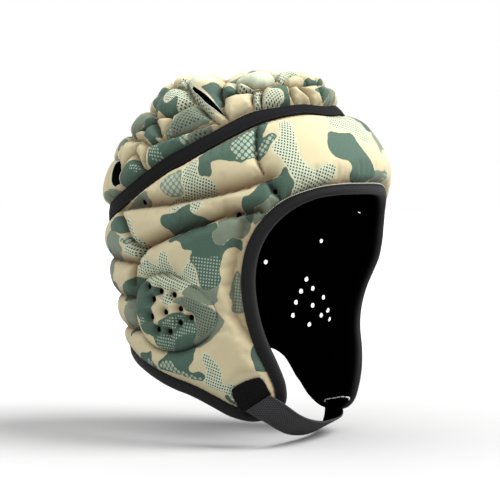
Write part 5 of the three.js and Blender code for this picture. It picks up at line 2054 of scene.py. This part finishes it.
# Pale thread of the cut edges; on the forehead it is also a painted highlight
pale_edge_and_glint = thread("pale_cut_edge_and_glint", srgb(196, 200, 186), roughness=0.8)
white_thread = thread("white_thread", srgb(235, 235, 230), roughness=0.7)


def finish_piece(obj, node, materials, thick, threads=(), thread_material=None):
    """Gives a piece its materials, thickness and stitches, hangs it on the body and hides the part that it
    stands for.
    """
    for material in materials:
        obj.data.materials.append(material)
    if thick:
        thicken(obj)
    if threads:
        join_threads(obj, threads, thread_material)
    smooth(obj)
    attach(obj, BODY)
    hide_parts(node)


panel = side_panel()
printed = [print_cloth, laminate]
finish_piece(panel, "side_panel", printed, True, [cut_edge_glint()], pale_edge_and_glint)
top = crown()
finish_piece(top, "crown", printed, True, dart_lips(), pale_edge_and_glint)
pads = {side: ear_pad(side) for side in EARS}
for side, ear_cover in pads.items():
    finish_piece(ear_cover, "ear_cup_" + side, printed, True)
lining = side_lining()
knits = [lining_knit, lining_knit]
finish_piece(lining, "side_lining", knits, True, [tacking()], white_thread)
seam_tape = tape()
finish_piece(seam_tape, "crown_band", [tape_black], False, tape_stitches(), black_thread)
edge = binding()
rows_of_stitches = binding_stitches()
finish_piece(edge, "edge_binding", [binding_black], False, rows_of_stitches, black_thread)
chin = strap()
finish_piece(chin, "chin_strap", [strap_grey], False)
hook = patch()
piles = [pile_black, pile_black]
finish_piece(hook, "strap_patch", piles, True, [patch_fibres()], black_thread)


# Floor, light and camera
def soft_sun(name, towards, spread, strength):
    """Broad even light from a direction, as from a large diffuser far off."""
    lamp = bpy.data.lights.new(name, "SUN")
    lamp.angle = math.radians(spread)
    lamp.energy = strength
    obj = bpy.data.objects.new(name, lamp)
    bpy.context.scene.collection.objects.link(obj)
    obj.rotation_euler = Vector(towards).to_track_quat("Z", "Y").to_euler()


# The floor's grey near the object and far off, how far it fades, and its size and height, in metres; the
# greyer floor near the object is painted shade
FLOOR_NEAR = 0.34
FLOOR_FAR = 0.5
FLOOR_FADE = 1.1
FLOOR_SIZE = 12
FLOOR_HEIGHT = -0.1835
# Lamps: the direction towards them, their spread in degrees and their strength
LAMPS = {
    "key": ((0.3, -0.6, 0.75), 40, 1.75 * math.pi),
    "top": ((-0.3, 0.1, 1), 60, 0.4 * math.pi),
}
SENSOR = 36


def floor_painted_shade():
    """Pale floor, greyer round the object than far off: shade painted round the object."""
    material, bench, shader = cloth_shader("floor_painted_shade", roughness=0.9, sheen=0.0, specular=0.0)
    place = bench.node("ShaderNodeTexCoord").outputs["Object"]
    away = bench.maths("DIVIDE", bench.length(place), FLOOR_FADE, clamp=True)
    grain = bench.maths("MULTIPLY_ADD", bench.noise(place, 9.0, 3.0), 0.02, -0.01)
    near, far = [(grey, grey, grey, 1) for grey in (FLOOR_NEAR, FLOOR_FAR)]
    share = bench.maths("ADD", away, grain, clamp=True)
    bench.put(shader.inputs["Base Color"], bench.mix(share, near, far))
    return material


deselect()
bpy.ops.mesh.primitive_plane_add(size=FLOOR_SIZE, location=(0, 0, 0))
floor = bpy.context.active_object
floor.name = "floor"
for vertex in floor.data.vertices:
    vertex.co.z = FLOOR_HEIGHT
floor.data.materials.append(floor_painted_shade())

world = bpy.data.worlds.new("studio")
world.use_nodes = True
world.node_tree.nodes["Background"].inputs["Color"].default_value = (1, 1, 1, 1)
world.node_tree.nodes["Background"].inputs["Strength"].default_value = 1.0
scene = bpy.context.scene
scene.world = world
scene.view_settings.view_transform = "Standard"

lens = bpy.data.cameras.new("camera")
lens.sensor_width = SENSOR
lens.lens = SENSOR * PIXELS_PER_MM * VIEW_DISTANCE / (2 * FRAME_MIDDLE)
camera = bpy.data.objects.new("camera", lens)
scene.collection.objects.link(camera)
axes = Matrix((RIGHTWARD, UPWARD, BACKWARD)).transposed().to_4x4()
camera.matrix_world = Matrix.Translation(Vector(EYE * MM)) @ axes
scene.camera = camera

for name, lamp in LAMPS.items():
    soft_sun(name, *lamp)
